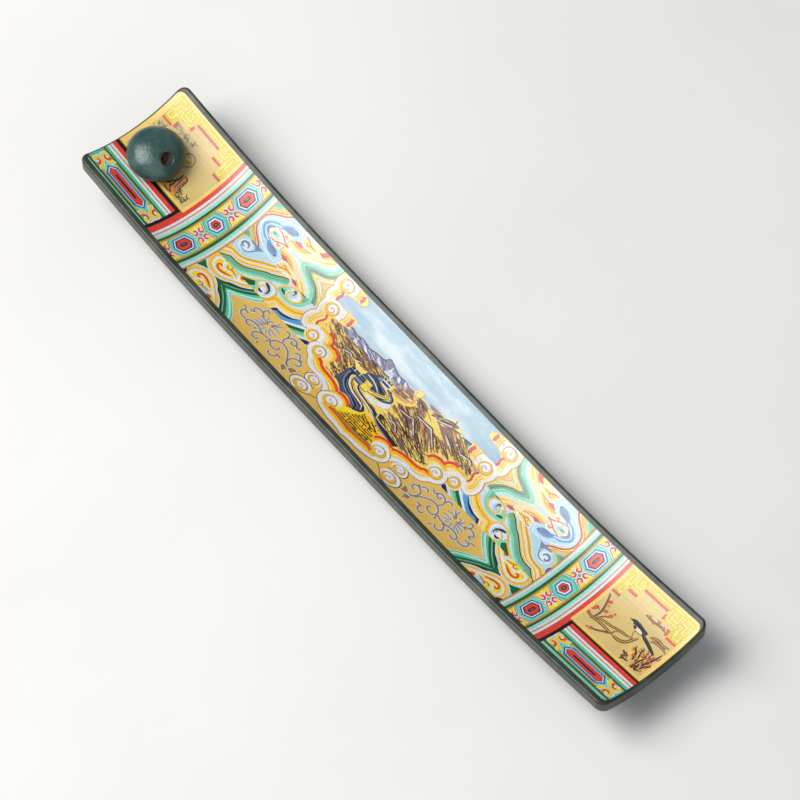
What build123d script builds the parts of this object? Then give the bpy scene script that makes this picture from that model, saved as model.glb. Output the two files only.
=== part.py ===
"""Incense-stick tray: a long boat-shaped glazed stoneware tray with a printed
inner face, a loose stick-holding bead near one end and silicone rest pads.

Frame: millimetres, +X along the tray from the bead end to the free end, +Y
across it, +Z up. Z = 0 is the table the four pads stand on, X = Y = 0 is the
middle of the tray.
"""
from build123d import *
import math
import os

# ---- tray -------------------------------------------------------------------
TRAY_L, TRAY_W = 251.6, 43.2      # over the glazed rim, plan view
TRAY_CORNER = 3.0                 # plan corner radius
WALL = 5.6                        # slab thickness, measured upright
EDGE_R = 0.75                     # rounded top and bottom arrises
BELLY = 0.7                       # air under the lowest point of the underside
# the inner face: rise of the ends along X and of the sides along Y
X_REF, Y_REF = 125.0, 20.0
RISE_X = (-2.49, 20.36, -9.21)    # times u^2, u^4, u^6 with u = x / X_REF
RISE_Y = (4.13, 0.71)             # times v^2, v^4 with v = y / Y_REF

# ---- printed transfer on the inner face -------------------------------------
PRINT_L, PRINT_W, PRINT_CORNER = 250.0, 38.8, 2.2
PRINT_T = 0.25

# ---- bead -------------------------------------------------------------------
BEAD_R = 9.5                      # widest radius
BEAD_TOP, BEAD_LOW = 5.8, 4.2     # half heights of the upper and lower shape
BEAD_CUT = 3.0                    # flat base this far under the widest ring
SOCKET_R, SOCKET_DEPTH = 2.2, 4.0
SOCKET_TILT = 36.0                # from the bead's own axis, leaning to +X
SOCKET_OUT = 4.9                  # mouth centre, out from the bead's axis
MOUTH_R = 0.30                    # rounding of the socket's mouth

# ---- seat ring under the bead ------------------------------------------------
SEAT_X, SEAT_Y = -113.0, -1.0     # where the bead stands
RING_R, RING_WIRE = 4.9, 0.75     # ring radius to the middle of its wire
SEAT_GAP = 0.15                   # running gap under the bead
RING_LOW = 0.62                   # clears the hollow's rise under the ring's sides

# ---- pads -------------------------------------------------------------------
PAD_X, PAD_Y, PAD_R = 64.0, 11.5, 4.0


def face_z(x, y):
    """Height of the tray's inner face over its lowest point."""
    u, v = x / X_REF, y / Y_REF
    along = sum(k * u ** n for k, n in zip(RISE_X, (2, 4, 6)))
    across = sum(k * v ** n for k, n in zip(RISE_Y, (2, 4)))
    return along + across


def sheet(lift):
    """The inner face's shape as one smooth sheet, raised by lift."""
    xs = [-132 + 264 * i / 48 for i in range(49)]
    ys = [-26 + 52 * j / 16 for j in range(17)]
    rows = [[Vector(x, y, face_z(x, y) + lift) for y in ys] for x in xs]
    return Face.make_surface_from_array_of_points(rows, tol=0.002)


def over(lift):
    return Solid.extrude(sheet(lift), Vector(0, 0, 60))


def under(lift):
    return Solid.extrude(sheet(lift), Vector(0, 0, -60))


INNER = BELLY + WALL

# tray body: outline, cut by the inner face above and the same face below
outline = Pos(0, 0, -5) * extrude(RectangleRounded(TRAY_L, TRAY_W, TRAY_CORNER), 45)
tray = outline - over(INNER) - under(BELLY)
rims = [e for e in tray.edges() if not (e.geom_type == GeomType.LINE and abs(e.tangent_at(0.5).Z) > 0.9)]
tray = fillet(rims, EDGE_R)

# printed transfer: thin skin lying on the inner face
sheet_cut = Pos(0, 0, -5) * extrude(RectangleRounded(PRINT_L, PRINT_W, PRINT_CORNER), 45)
print_skin = sheet_cut - over(INNER + PRINT_T) - under(INNER)

# seat plane: square to the inner face where the bead stands
H = 0.01
slope_x = (face_z(SEAT_X + H, SEAT_Y) - face_z(SEAT_X - H, SEAT_Y)) / (2 * H)
slope_y = (face_z(SEAT_X, SEAT_Y + H) - face_z(SEAT_X, SEAT_Y - H)) / (2 * H)
lean = -math.degrees(math.atan(slope_x))
roll = math.degrees(math.atan(slope_y * math.cos(math.radians(lean))))
seat = Pos(SEAT_X, SEAT_Y, INNER + face_z(SEAT_X, SEAT_Y)) * Rot(roll, lean, 0)

# ring: small wire ring, flattened under and over by its own squeeze
ring_round = Pos(0, 0, RING_LOW + RING_WIRE * 0.8) * Torus(RING_R, RING_WIRE)
RING_TOP = RING_LOW + RING_WIRE * 1.6
keep = Pos(0, 0, RING_LOW) * Cylinder(RING_R + 2, RING_TOP - RING_LOW, align=(Align.CENTER, Align.CENTER, Align.MIN))
ring = ring_round & keep

# bead, built about its own axis with its base at z = 0
base_r = BEAD_R * math.sqrt(1 - (BEAD_CUT / BEAD_LOW) ** 2)


def half_profile(n=24):
    """Points of the bead's side from the base edge up to the top, r and z."""
    pts = []
    for i in range(n + 1):
        z = -BEAD_CUT * (1 - i / n)
        pts.append((BEAD_R * math.sqrt(1 - (z / BEAD_LOW) ** 2), BEAD_CUT + z))
    for i in range(1, n + 1):
        a = math.pi / 2 * i / n
        pts.append((BEAD_R * math.cos(a), BEAD_CUT + BEAD_TOP * math.sin(a)))
    return pts


side = half_profile()
side[-1] = (0, side[-1][1])
with BuildPart() as bead_build:
    with BuildSketch(Plane.XZ):
        with BuildLine():
            Spline(*side, tangents=((0.5, 1), (-1, 0)), tangent_scalars=(1, 1))
            Line(side[-1], (0, 0))
            Line((0, 0), side[0])
        make_face()
    revolve(axis=Axis.Z)
bead = bead_build.part
base_edge = [e for e in bead.edges() if abs(e.center().Z) < 0.01 and e.geom_type == GeomType.CIRCLE]
bead = fillet(base_edge, 0.5)

mouth_z = BEAD_CUT + BEAD_TOP * math.sqrt(1 - (SOCKET_OUT / BEAD_R) ** 2)
mouth = Pos(SOCKET_OUT, 0, mouth_z) * Rot(0, SOCKET_TILT, 0)
drill = mouth * Pos(0, 0, -SOCKET_DEPTH) * Cylinder(
    SOCKET_R, SOCKET_DEPTH + 6, align=(Align.CENTER, Align.CENTER, Align.MIN))
bead = bead - drill
mouth_edges = [e for e in bead.edges() if e.center().Z > mouth_z - 1.2 and e.length < 20 and e.geom_type != GeomType.CIRCLE]
bead = fillet(mouth_edges, MOUTH_R)
# a groove under the bead lets the ring sit up into it
RING_BITE = 0.9
groove = Pos(0, 0, 0) * (Cylinder(RING_R + RING_WIRE + 0.15, RING_BITE, align=(Align.CENTER, Align.CENTER, Align.MIN))
                         - Cylinder(RING_R - RING_WIRE - 0.15, RING_BITE, align=(Align.CENTER, Align.CENTER, Align.MIN)))
bead = bead - groove
BEAD_BASE = RING_TOP + SEAT_GAP - RING_BITE
bead_placed = seat * Pos(0, 0, BEAD_BASE) * bead
ring_placed = seat * ring

# rest pads, cut to follow the underside
def pad(sx, sy):
    post = Pos(sx * PAD_X, sy * PAD_Y, 0) * Cylinder(PAD_R, 8, align=(Align.CENTER, Align.CENTER, Align.MIN))
    body = post - over(BELLY)
    foot = [e for e in body.edges() if abs(e.center().Z) < 0.01]
    return fillet(foot, 0.4)


pads = {f"rest_pad_{n}": pad(sx, sy)
        for n, (sx, sy) in enumerate(((-1, -1), (-1, 1), (1, -1), (1, 1)), 1)}

parts = {"tray_body": tray, "print_skin": print_skin, "seat_ring": ring_placed,
         "incense_bead": bead_placed, **pads}

os.makedirs("parts", exist_ok=True)
for name, shape in parts.items():
    shape.label = name
    export_step(shape, f"parts/{name}.step")
    box = shape.bounding_box()
    print(name, "volume", round(shape.volume, 1), "min", tuple(round(v, 2) for v in box.min),
          "max", tuple(round(v, 2) for v in box.max))
tip = seat * Pos(0, 0, BEAD_BASE) * mouth
for name, place in (("seat", seat), ("socket mouth", tip)):
    out = (place * Pos(0, 0, 1)).position - place.position
    print(name, tuple(round(v, 3) for v in place.position), "axis", tuple(round(v, 5) for v in out))
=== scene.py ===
"""Looks of the incense tray: glazed dish, printed face in the manner of a painted
beam, stick-holder bead on a soft ring, and rest pads. Plan shapes are in millimetres."""

import math
import random

import bmesh
import bpy
from mathutils import Matrix, Vector


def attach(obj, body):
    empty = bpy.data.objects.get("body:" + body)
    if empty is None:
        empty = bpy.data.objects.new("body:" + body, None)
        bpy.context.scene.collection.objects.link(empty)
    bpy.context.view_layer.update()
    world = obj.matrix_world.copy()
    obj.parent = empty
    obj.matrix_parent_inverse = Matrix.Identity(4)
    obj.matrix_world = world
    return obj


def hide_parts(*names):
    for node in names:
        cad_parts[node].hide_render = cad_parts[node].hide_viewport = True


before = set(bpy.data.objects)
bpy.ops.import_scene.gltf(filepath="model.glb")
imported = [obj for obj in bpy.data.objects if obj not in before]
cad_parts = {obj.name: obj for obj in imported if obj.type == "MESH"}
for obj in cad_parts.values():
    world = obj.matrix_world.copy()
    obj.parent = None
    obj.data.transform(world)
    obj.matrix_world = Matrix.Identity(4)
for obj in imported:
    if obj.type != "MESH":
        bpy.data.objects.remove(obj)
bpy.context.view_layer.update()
MM = 0.001

# the tray's face, as the CAD part has it: height over the plan, in millimetres
INNER = 6.3
HALF_X, HALF_Y = 125.0, 20.0
RISE_X = (-2.49, 20.36, -9.21)
RISE_Y = (4.13, 0.71)
PRINT_X, PRINT_Y, PRINT_CORNER = 125.0, 19.4, 2.2
PAST_END = 126.0  # shapes that run off the end are drawn to here and cut at the print's edge

# paint over the face: height of level 0, of each level above it, and of the hidden underside
PAINT_LIFT, LEVEL_STEP, PAINT_FOOT = 0.075, 0.02, -0.05
CELL_X, CELL_Y = 4.0, 1.6  # paint is split on this grid so that it follows the curved face


def face_height(x, y):
    u, v = (x / HALF_X) ** 2, (y / HALF_Y) ** 2
    rise = sum(c * u ** (k + 1) for k, c in enumerate(RISE_X))
    return INNER + rise + sum(c * v ** (k + 1) for k, c in enumerate(RISE_Y))


# ---- materials ------------------------------------------------------------------
PLAIN = (1.0, 1.0, 1.0, 1)  # leaves a colour as it is when multiplied with it
DECAL_RELIEF = (0.10, 0.00012)  # strength, and depth in metres
DECAL_ROUGH = (0.27, 0.40)
DECAL_SHINE = 0.65
GOLD_PAINTS = ("gold", "panel", "gold_pale", "gold_rim")


def linear(rgb):
    """255-scale colour to the linear colour a shader takes."""
    return tuple((c / 255) ** 2.2 for c in rgb) + (1,)


class Nodes:
    """Short calls for building one material's nodes."""

    def __init__(self, name):
        self.mat = bpy.data.materials.new(name)
        self.mat.use_nodes = True
        self.tree = self.mat.node_tree
        self.shader = self.tree.nodes["Principled BSDF"]
        self.where = self.tree.nodes.new("ShaderNodeTexCoord").outputs["Object"]

    def add(self, kind, **inputs):
        node = self.tree.nodes.new("ShaderNode" + kind)
        for key, value in inputs.items():
            node.inputs[key.replace("_", " ")].default_value = value
        return node

    def join(self, a, b):
        self.tree.links.new(a, b)

    def noise(self, scale, detail=3, rough=0.55, stretch=None):
        node = self.add("TexNoise", Scale=scale, Detail=detail, Roughness=rough)
        where = self.where
        if stretch:
            scaled = self.tree.nodes.new("ShaderNodeVectorMath")
            scaled.operation = "MULTIPLY"
            scaled.inputs[1].default_value = stretch
            self.join(where, scaled.inputs[0])
            where = scaled.outputs["Vector"]
        self.join(where, node.inputs["Vector"])
        return node.outputs["Fac"]

    def ramp(self, source, *stops):
        node = self.add("ValToRGB")
        while len(node.color_ramp.elements) < len(stops):
            node.color_ramp.elements.new(0.5)
        for element, (at, color) in zip(node.color_ramp.elements, stops):
            element.position = at
            element.color = color
        self.join(source, node.inputs["Fac"])
        return node.outputs["Color"]

    def mix(self, factor, a, b, way="MIX"):
        node = self.tree.nodes.new("ShaderNodeMix")
        node.data_type = "RGBA"
        node.blend_type = way
        for value, socket in ((factor, 0), (a, 6), (b, 7)):
            if isinstance(value, (int, float, tuple)):
                node.inputs[socket].default_value = value
            else:
                self.join(value, node.inputs[socket])
        return node.outputs[2]

    def span(self, source, low, high):
        node = self.add("MapRange")
        node.inputs["To Min"].default_value = low
        node.inputs["To Max"].default_value = high
        self.join(source, node.inputs["Value"])
        return node.outputs["Result"]

    def bump(self, height, strength, distance):
        node = self.add("Bump", Strength=strength, Distance=distance)
        self.join(height, node.inputs["Height"])
        self.join(node.outputs["Normal"], self.shader.inputs["Normal"])

    def done(self, color=None, rough=None, **fixed):
        for source, socket in ((color, "Base Color"), (rough, "Roughness")):
            if isinstance(source, (float, tuple)):
                self.shader.inputs[socket].default_value = source
            elif source is not None:
                self.join(source, self.shader.inputs[socket])
        for key, value in fixed.items():
            self.shader.inputs[key.replace("_", " ")].default_value = value
        return self.mat


def satin(n, color, veil):
    """Finishes a fired decal: colour times veil, fine relief and an even satin gloss."""
    n.bump(n.noise(900, 3), *DECAL_RELIEF)
    rough = n.span(n.noise(1500, 2), *DECAL_ROUGH)
    return n.done(n.mix(1.0, color, veil, "MULTIPLY"), rough, IOR=1.5, Specular_IOR_Level=DECAL_SHINE)


def paint(name, rgb):
    """One decal colour with slight mottling; the golds have a finer grain."""
    n = Nodes("decal_" + name)
    base = linear(rgb)
    dark = tuple(c * 0.80 for c in base[:3]) + (1,)
    light = tuple(min(1, c * 1.12 + 0.004) for c in base[:3]) + (1,)
    grain = 5200 if name in GOLD_PAINTS else 2600
    color = n.ramp(n.noise(grain, 2, 0.6), (0.36, dark), (0.5, base), (0.66, light))
    wash = n.ramp(n.noise(160, 3), (0.3, (0.9, 0.9, 0.9, 1)), (0.7, PLAIN))
    return satin(n, color, wash)


def sky_wash():
    """The sky's decal: soft cloud drifts along the tray over pale blue."""
    n = Nodes("decal_sky")
    drift = n.noise(130, 5, 0.6, (0.28, 1.0, 1.0))
    stops = ((0.38, "sky"), (0.51, "sky_mid"), (0.64, "sky_pale"))
    soft = n.ramp(drift, *((at, linear(PAINT[name])) for at, name in stops))
    grain = n.ramp(n.noise(2600, 2, 0.6), (0.34, (0.88, 0.9, 0.92, 1)), (0.6, PLAIN))
    return satin(n, soft, grain)


def glaze(name, deep, mid, pale, rough, pale_at, pitted, shine):
    """Thick green-grey glaze that thins to a paler tone, with faint pits."""
    n = Nodes(name)
    body = n.ramp(n.noise(95, 5, 0.6), (0.32, linear(deep)), (0.52, linear(mid)), (pale_at, linear(pale)))
    fleck = n.ramp(n.noise(1900, 2, 0.7), (0.3, (0.72, 0.74, 0.74, 1)), (0.46, PLAIN))
    n.bump(n.mix(0.35, n.noise(300, 3), n.noise(1400, 2)), pitted, 0.0003)
    color = n.mix(1.0, body, fleck, "MULTIPLY")
    gloss = n.span(n.noise(420, 3), rough - 0.07, rough + 0.1)
    return n.done(color, gloss, IOR=1.52, Specular_IOR_Level=shine)


def rubber(name, rgb):
    """Matt silicone, a touch darker in patches."""
    n = Nodes(name)
    color = n.ramp(n.noise(700, 3), (0.35, linear(tuple(c * 0.86 for c in rgb))), (0.65, linear(rgb)))
    n.bump(n.noise(3000, 2), 0.2, 0.0001)
    return n.done(color, n.span(n.noise(900, 2), 0.5, 0.68), IOR=1.41)


def clay():
    """Rough unglazed clay."""
    n = Nodes("bare_clay")
    color = n.ramp(n.noise(900, 5, 0.7), (0.34, linear((54, 38, 32))), (0.6, linear((112, 84, 70))))
    n.bump(n.noise(1500, 4), 0.5, 0.0002)
    return n.done(color, n.span(n.noise(1200, 2), 0.65, 0.85))


def floor_paper():
    """Seamless white backdrop."""
    n = Nodes("floor_paper")
    color = n.ramp(n.noise(6, 4), (0.35, linear((226, 225, 221))), (0.65, linear((232, 231, 228))))
    n.bump(n.noise(900, 2), 0.05, 0.0002)
    return n.done(color, n.span(n.noise(40, 2), 0.7, 0.8))


# ---- drawing tools: flat shapes in millimetres on the tray's plan ---------------
# 255-scale paint colours as they look in plain light
PAINT = {
    "gold": (224, 183, 90), "gold_pale": (240, 213, 140), "gold_rim": (240, 204, 112),
    "gold_deep": (205, 152, 40), "gold_line": (196, 140, 38), "amber": (238, 182, 4),
    "cream": (238, 222, 176), "panel": (212, 186, 116), "yellow": (236, 214, 34),
    "lemon": (232, 212, 88), "fret_line": (240, 224, 116), "red": (220, 64, 50),
    "red_soft": (206, 72, 66), "black": (8, 7, 7),
    "white": (216, 226, 240), "lavender": (204, 214, 226), "ice": (174, 210, 226),
    "sky": (124, 162, 188), "cloud": (214, 226, 234), "mint": (128, 206, 172),
    "mint_pale": (176, 226, 208), "green": (82, 184, 142), "green_mid": (108, 176, 138),
    "green_dark": (12, 92, 56), "green_black": (18, 44, 32), "green_grey": (116, 152, 134),
    "teal": (84, 188, 156), "blue": (30, 102, 182), "blue_soft": (86, 148, 200),
    "blue_grey": (112, 131, 158), "navy": (22, 32, 92), "slate": (72, 75, 94),
    "brown": (140, 90, 34), "bronze": (170, 110, 34), "umber": (92, 52, 30), "rock": (136, 104, 92),
    "rock_dark": (66, 44, 40), "orange": (222, 140, 66), "ochre": (206, 160, 52),
    "straw": (234, 206, 104), "peach": (226, 164, 112), "ink": (34, 34, 42),
    "plum": (96, 58, 62), "blossom": (204, 74, 66), "far_peak": (102, 100, 138),
    "olive": (150, 132, 40), "honey": (232, 184, 58), "haze": (160, 184, 202), "fret": (208, 190, 12),
    "fret_edge": (198, 166, 36), "rose": (200, 64, 70), "gold_warm": (238, 198, 84),
    "mist": (152, 140, 112),
    "sky_mid": (146, 175, 190), "sky_pale": (190, 204, 210),
}


def read(txt):
    """'x,y x,y! ...' to points; a mark ! keeps that point a sharp corner."""
    out = []
    for word in txt.split():
        sharp = word.endswith("!")
        x, y = word.rstrip("!").split(",")
        out.append((float(x), float(y), sharp))
    return out


def spline(p, closed, step):
    """Smooth curve through points p, Catmull-Rom."""
    n = len(p)
    if n < 3 and not closed:
        return list(p)
    out = []
    for i in range(n if closed else n - 1):
        p0 = p[(i - 1) % n] if closed or i else p[0]
        p1, p2 = p[i], p[(i + 1) % n]
        p3 = p[(i + 2) % n] if closed or i + 2 < n else p[-1]
        gap = math.dist(p1, p2)
        k = max(1, int(gap / step))
        for j in range(k):
            t = j / k
            out.append(tuple(
                0.5 * (2 * b + (c - a) * t + (2 * a - 5 * b + 4 * c - d) * t * t
                       + (3 * b - a - 3 * c + d) * t ** 3)
                for a, b, c, d in zip(p0, p1, p2, p3)))
    if not closed:
        out.append(tuple(p[-1]))
    return out


def curve(txt, closed=False, step=0.4):
    """Points of a smooth line, with its marked corners kept sharp."""
    raw = read(txt) if isinstance(txt, str) else [(x, y, False) for x, y in txt]
    corners = [i for i, q in enumerate(raw) if q[2]]
    xy = [q[:2] for q in raw]
    if closed:
        if not corners:
            return spline(xy, True, step)
        k = corners[0]
        xy = xy[k:] + xy[:k] + [xy[k]]
        corners = [c - k for c in corners] + [len(xy) - 1]
    cuts = sorted(set([0] + corners + [len(xy) - 1]))
    out = []
    for a, b in zip(cuts, cuts[1:]):
        seg = spline(xy[a:b + 1], False, step)
        out += seg if not out else seg[1:]
    return out[:-1] if closed else out


def sides(path, low, high, taper=(1, 1)):
    """Left and right edges of a ribbon whose offsets run low to high from path."""
    n = len(path)
    a, b = [], []
    for i in range(n):
        x0, y0 = path[max(i - 1, 0)]
        x1, y1 = path[min(i + 1, n - 1)]
        d = math.hypot(x1 - x0, y1 - y0) or 1
        nx, ny = -(y1 - y0) / d, (x1 - x0) / d
        t = i / (n - 1)
        w = min(1, taper[0] + t * 4 * (1 - taper[0])) * min(1, taper[1] + (1 - t) * 4 * (1 - taper[1]))
        a.append((path[i][0] + nx * low * w, path[i][1] + ny * low * w))
        b.append((path[i][0] + nx * high * w, path[i][1] + ny * high * w))
    return a, b


class Art:
    """One painted piece: flat shapes with a colour and a level in the paint pile."""

    def __init__(self, name, box):
        self.name, self.box, self.items = name, box, []

    def fill(self, color, level, txt, step=0.4):
        """Area inside a smooth outline."""
        self.poly(color, level, curve(txt, True, step))

    def poly(self, color, level, txt):
        """Area inside a straight-sided outline."""
        p = [q[:2] for q in read(txt)] if isinstance(txt, str) else list(txt)
        self.items.append((color, level, p, [list(range(len(p)))]))

    def rect(self, color, level, x0, x1, y0, y1):
        self.poly(color, level, [(x0, y0), (x1, y0), (x1, y1), (x0, y1)])

    def ribbon(self, color, level, path, low, high, taper=(1, 1)):
        """Strip along path, from offset low to offset high, narrowed to taper at its ends."""
        a, b = sides(path, low, high, taper)
        n = len(a)
        faces = [[i, i + 1, n + i + 1, n + i] for i in range(n - 1)]
        self.items.append((color, level, a + b, faces))

    def line(self, color, level, width, txt, taper=(1, 1), step=0.35):
        path = curve(txt, False, step)
        self.ribbon(color, level, path, -width / 2, width / 2, taper)

    def bands(self, level, txt, rows, step=0.35):
        """Side-by-side bands along one line: (inner offset, outer offset, colour)."""
        path = curve(txt, False, step)
        for low, high, color in rows:
            self.ribbon(color, level, path, low, high)

    def disc(self, color, level, x, y, rx, ry=None, n=20):
        ry = ry or rx
        angles = [2 * math.pi * i / n for i in range(n)]
        self.poly(color, level, [(x + rx * math.cos(a), y + ry * math.sin(a)) for a in angles])

    def flipped_y(self, mid, start=0):
        """Adds every item from start on again, mirrored across the line y = mid."""
        for color, level, p, f in list(self.items[start:]):
            self.items.append((color, level, [(x, 2 * mid - y) for x, y in p], [g[::-1] for g in f]))

    def other_end(self, name, inward=0.0, outer=PRINT_X):
        """The same piece at the far end, set inward a little and cut off at outer."""
        x0, x1, y0, y1 = self.box
        reach = min(outer, x1 if x1 >= PRINT_X else x1 - inward)
        twin = Art(name, (-reach, inward - x0, y0, y1))
        for color, level, p, f in self.items:
            twin.items.append((color, level, [(inward - x, y) for x, y in p], [g[::-1] for g in f]))
        return twin


def spiral(cx, cy, r0, r1, a0, turns, squash=1.0, n=14):
    """Points winding from radius r0 at angle a0 to radius r1."""
    k = max(6, int(abs(turns) * n))
    out = []
    for i in range(k + 1):
        t = i / k
        a = math.radians(a0) + 2 * math.pi * turns * t
        r = r0 + (r1 - r0) * t
        out.append((cx + r * math.cos(a), cy + r * squash * math.sin(a)))
    return out


# ---- the cross bands near each end ----------------------------------------------
BAND_MID = 84.2  # middle of the wide teal band
SPLIT_Y = -5.95  # foot of the gold end panel, top of the lozenge box
PANEL_X, BOX_X = 93.75, 94.5  # where the panel and the box begin
BANDS = (  # from, to, colour, on |x|
    (76.35, 77.0, "gold_line"), (77.0, 78.0, "lavender"), (78.0, 78.9, "mint"),
    (78.9, 79.9, "green_dark"), (79.9, 80.5, "gold_line"), (80.5, 87.9, "teal"),
    (87.9, 88.5, "gold_line"), (88.5, 89.3, "green_dark"), (89.3, 90.1, "mint"),
    (90.1, 91.0, "lavender"), (91.0, 91.5, "gold_line"), (91.5, 92.3, "white"),
)
LONG_HEXAGON = (  # half width, half height, height of the shoulders, colour
    (3.6, 5.0, 3.0, "mint"), (2.95, 3.95, 2.4, "blue"), (2.5, 3.4, 2.1, "white"),
    (2.15, 2.95, 1.85, "ink"), (1.75, 2.5, 1.55, "red"), (0.6, 1.45, 1.0, "green_black"),
)
SMALL_HEXAGON = (
    (3.4, 3.6, 1.9, "mint"), (2.65, 2.85, 1.5, "blue"), (2.2, 2.35, 1.25, "white"),
    (1.65, 1.75, 0.95, "ink"), (1.5, 1.55, 0.85, "red"), (0.66, 0.95, 0.5, "green_black"),
)
HOOK = ((-3.6, 2.75), (-2.3, 2.3), (-1.1, 1.9), (-0.62, 1.25), (-1.0, 0.6), (-1.9, 0.55), (-2.35, 1.15))


def hexagon(art, cx, cy, rows, level):
    """Upright hexagons, each on top of the one before."""
    for k, (w, h, s, color) in enumerate(rows):
        art.poly(color, level + k, [(cx, cy + h), (cx - w, cy + s), (cx - w, cy - s),
                                    (cx, cy - h), (cx + w, cy - s), (cx + w, cy + s)])


def hooks(art, cx, cy, level):
    """Four curled hooks back to back round one point of the band."""
    ground = ((3.7, 3.1), (3.7, 0.15), (2.1, 0.3), (1.4, 2.2))
    for sx in (-1, 1):
        for sy in (-1, 1):
            p = [(cx + sx * -x, cy + sy * y) for x, y in HOOK]
            art.poly("yellow", level, [(cx + sx * x, cy + sy * y) for x, y in ground])
            art.line("white", level + 1, 1.2, p[2:])
            art.line("white", level + 1, 0.75, p[:3])
            art.line("red", level + 3, 0.34, p[:3], (0.5, 1))
            art.line("red", level + 3, 0.66, p[2:], (0.5, 0.7))
            art.disc("yellow", level + 2, cx + sx * 1.9, cy + sy * 1.25, 0.42, 0.32, n=10)
        art.line("white", level + 1, 0.35, [(cx + sx * 3.6, cy), (cx + sx * 0.9, cy)])


def cross_bands():
    art = Art("cross_bands", (76.3, 95.8, -PRINT_Y, PRINT_Y))
    for x0, x1, color in BANDS:
        art.rect(color, 1, x0, x1, -PRINT_Y, PRINT_Y)
    bands_end = BANDS[-1][1]
    art.rect("red", 1, bands_end, BOX_X, -PRINT_Y, SPLIT_Y)
    art.rect("red", 1, bands_end, PANEL_X, SPLIT_Y, PRINT_Y)
    for x in (78.45, 89.7):
        art.rect("mint_pale", 2, x - 0.12, x + 0.12, -PRINT_Y, PRINT_Y)
    for cy, rows in ((12.75, LONG_HEXAGON), (-0.05, SMALL_HEXAGON), (-12.9, LONG_HEXAGON)):
        hexagon(art, BAND_MID, cy, rows, 2)
        if rows is SMALL_HEXAGON:
            art.disc("green_grey", 8, BAND_MID, cy, 0.26, 0.42, 10)
        else:
            art.disc("blue_grey", 8, BAND_MID + 0.1, cy, 0.16, 0.85, 10)
    for cy in (19.5, 6.2, -6.1, -19.7):
        hooks(art, BAND_MID, cy, 3)
    return art


# ---- long lozenge box on the -Y side of each end ----------------------------------
ROWS = (  # y from, y to, colour
    (-8.15, -6.7, "red"), (-8.85, -8.15, "white"), (-9.3, -8.85, "gold_line"),
    (-10.1, -9.3, "white"), (-11.05, -10.1, "green"), (-11.65, -11.05, "green_dark"),
    (-12.15, -11.65, "gold_line"), (-17.1, -12.15, "teal"), (-17.6, -17.1, "gold_line"),
    (-18.35, -17.6, "green_dark"), (-PRINT_Y, -18.35, "mint"),
)
ROWS_X = 95.7  # the rows stop here, short of the box's black edge
LOZENGE_X, LOZENGE_Y = 110.2, -14.62
LOZENGES = (  # half length, half height, colour, level
    (10.3, 2.5, "mint", 3), (9.25, 2.3, "blue", 4), (8.55, 1.55, "white", 5),
    (8.1, 1.35, "ink", 6), (7.9, 1.22, "red", 7), (5.1, 0.36, "green_black", 8),
)


def lozenge(art, cy, w, h, color, level):
    """Long six-sided bar with pointed ends."""
    slope = h if h > 0.5 else 0.3
    right, left = LOZENGE_X + w, LOZENGE_X - w
    art.poly(color, level, [(left, cy), (left + slope, cy + h), (right - slope, cy + h),
                            (right, cy), (right - slope, cy - h), (left + slope, cy - h)])


def corner_hook(art, x0, cy, sx):
    """Curled hook in an upper corner of the lozenge's row; sx points along the row."""
    def at(*p):
        return [(x0 + sx * x, cy + y) for x, y in p]

    hook = at((5.7, 2.3), (4.6, 1.85), (3.6, 1.1), (2.4, 0.68), (1.25, 0.85), (0.75, 1.5),
              (1.3, 2.0), (2.0, 1.75))
    art.line("white", 4, 1.75, hook)
    art.line("amber", 5, 1.1, hook)
    art.line("yellow", 6, 0.62, hook)
    art.poly("white", 4, at((0, 2.4), (0, 0.35), (2.8, 0.2), (3.4, 1.2), (2.6, 2.4)))
    art.line("red", 7, 0.72, at((3.5, 2.4), (3.3, 1.7), (2.6, 1.15), (1.8, 1.15)), (1, 0.5))
    art.disc("white", 8, x0 + sx * 2.5, cy + 2.0, 0.3, 0.42, 10)
    art.disc("red", 7, x0 + sx * 1.65, cy + 1.35, 0.36, 0.3, 10)
    art.line("ice", 5, 0.5, at((0.0, 0.2), (2.2, 0.1), (3.4, 0.2), (4.2, 0.7)), (1, 0.3))


def lozenge_box(drop=0.0):
    """Drop lowers every row, and the lozenge with them."""
    art = Art("lozenge_box", (BOX_X, PRINT_X, -PRINT_Y, SPLIT_Y))
    art.rect("black", 1, BOX_X, PAST_END, -PRINT_Y, SPLIT_Y)
    for y0, y1, color in ROWS:
        art.rect(color, 2, ROWS_X, PAST_END, max(y0 - drop, -PRINT_Y), y1 - drop)
    cy = LOZENGE_Y - drop
    for w, h, color, level in LOZENGES:
        lozenge(art, cy, w, h, color, level)
    art.rect("blue_soft", 5, 103.6, 116.8, cy + 1.85, cy + 2.25)
    start = len(art.items)
    for sx, x0 in ((1, ROWS_X), (-1, 124.4)):
        corner_hook(art, x0, cy, sx)
    art.flipped_y(cy, start)
    return art


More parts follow.
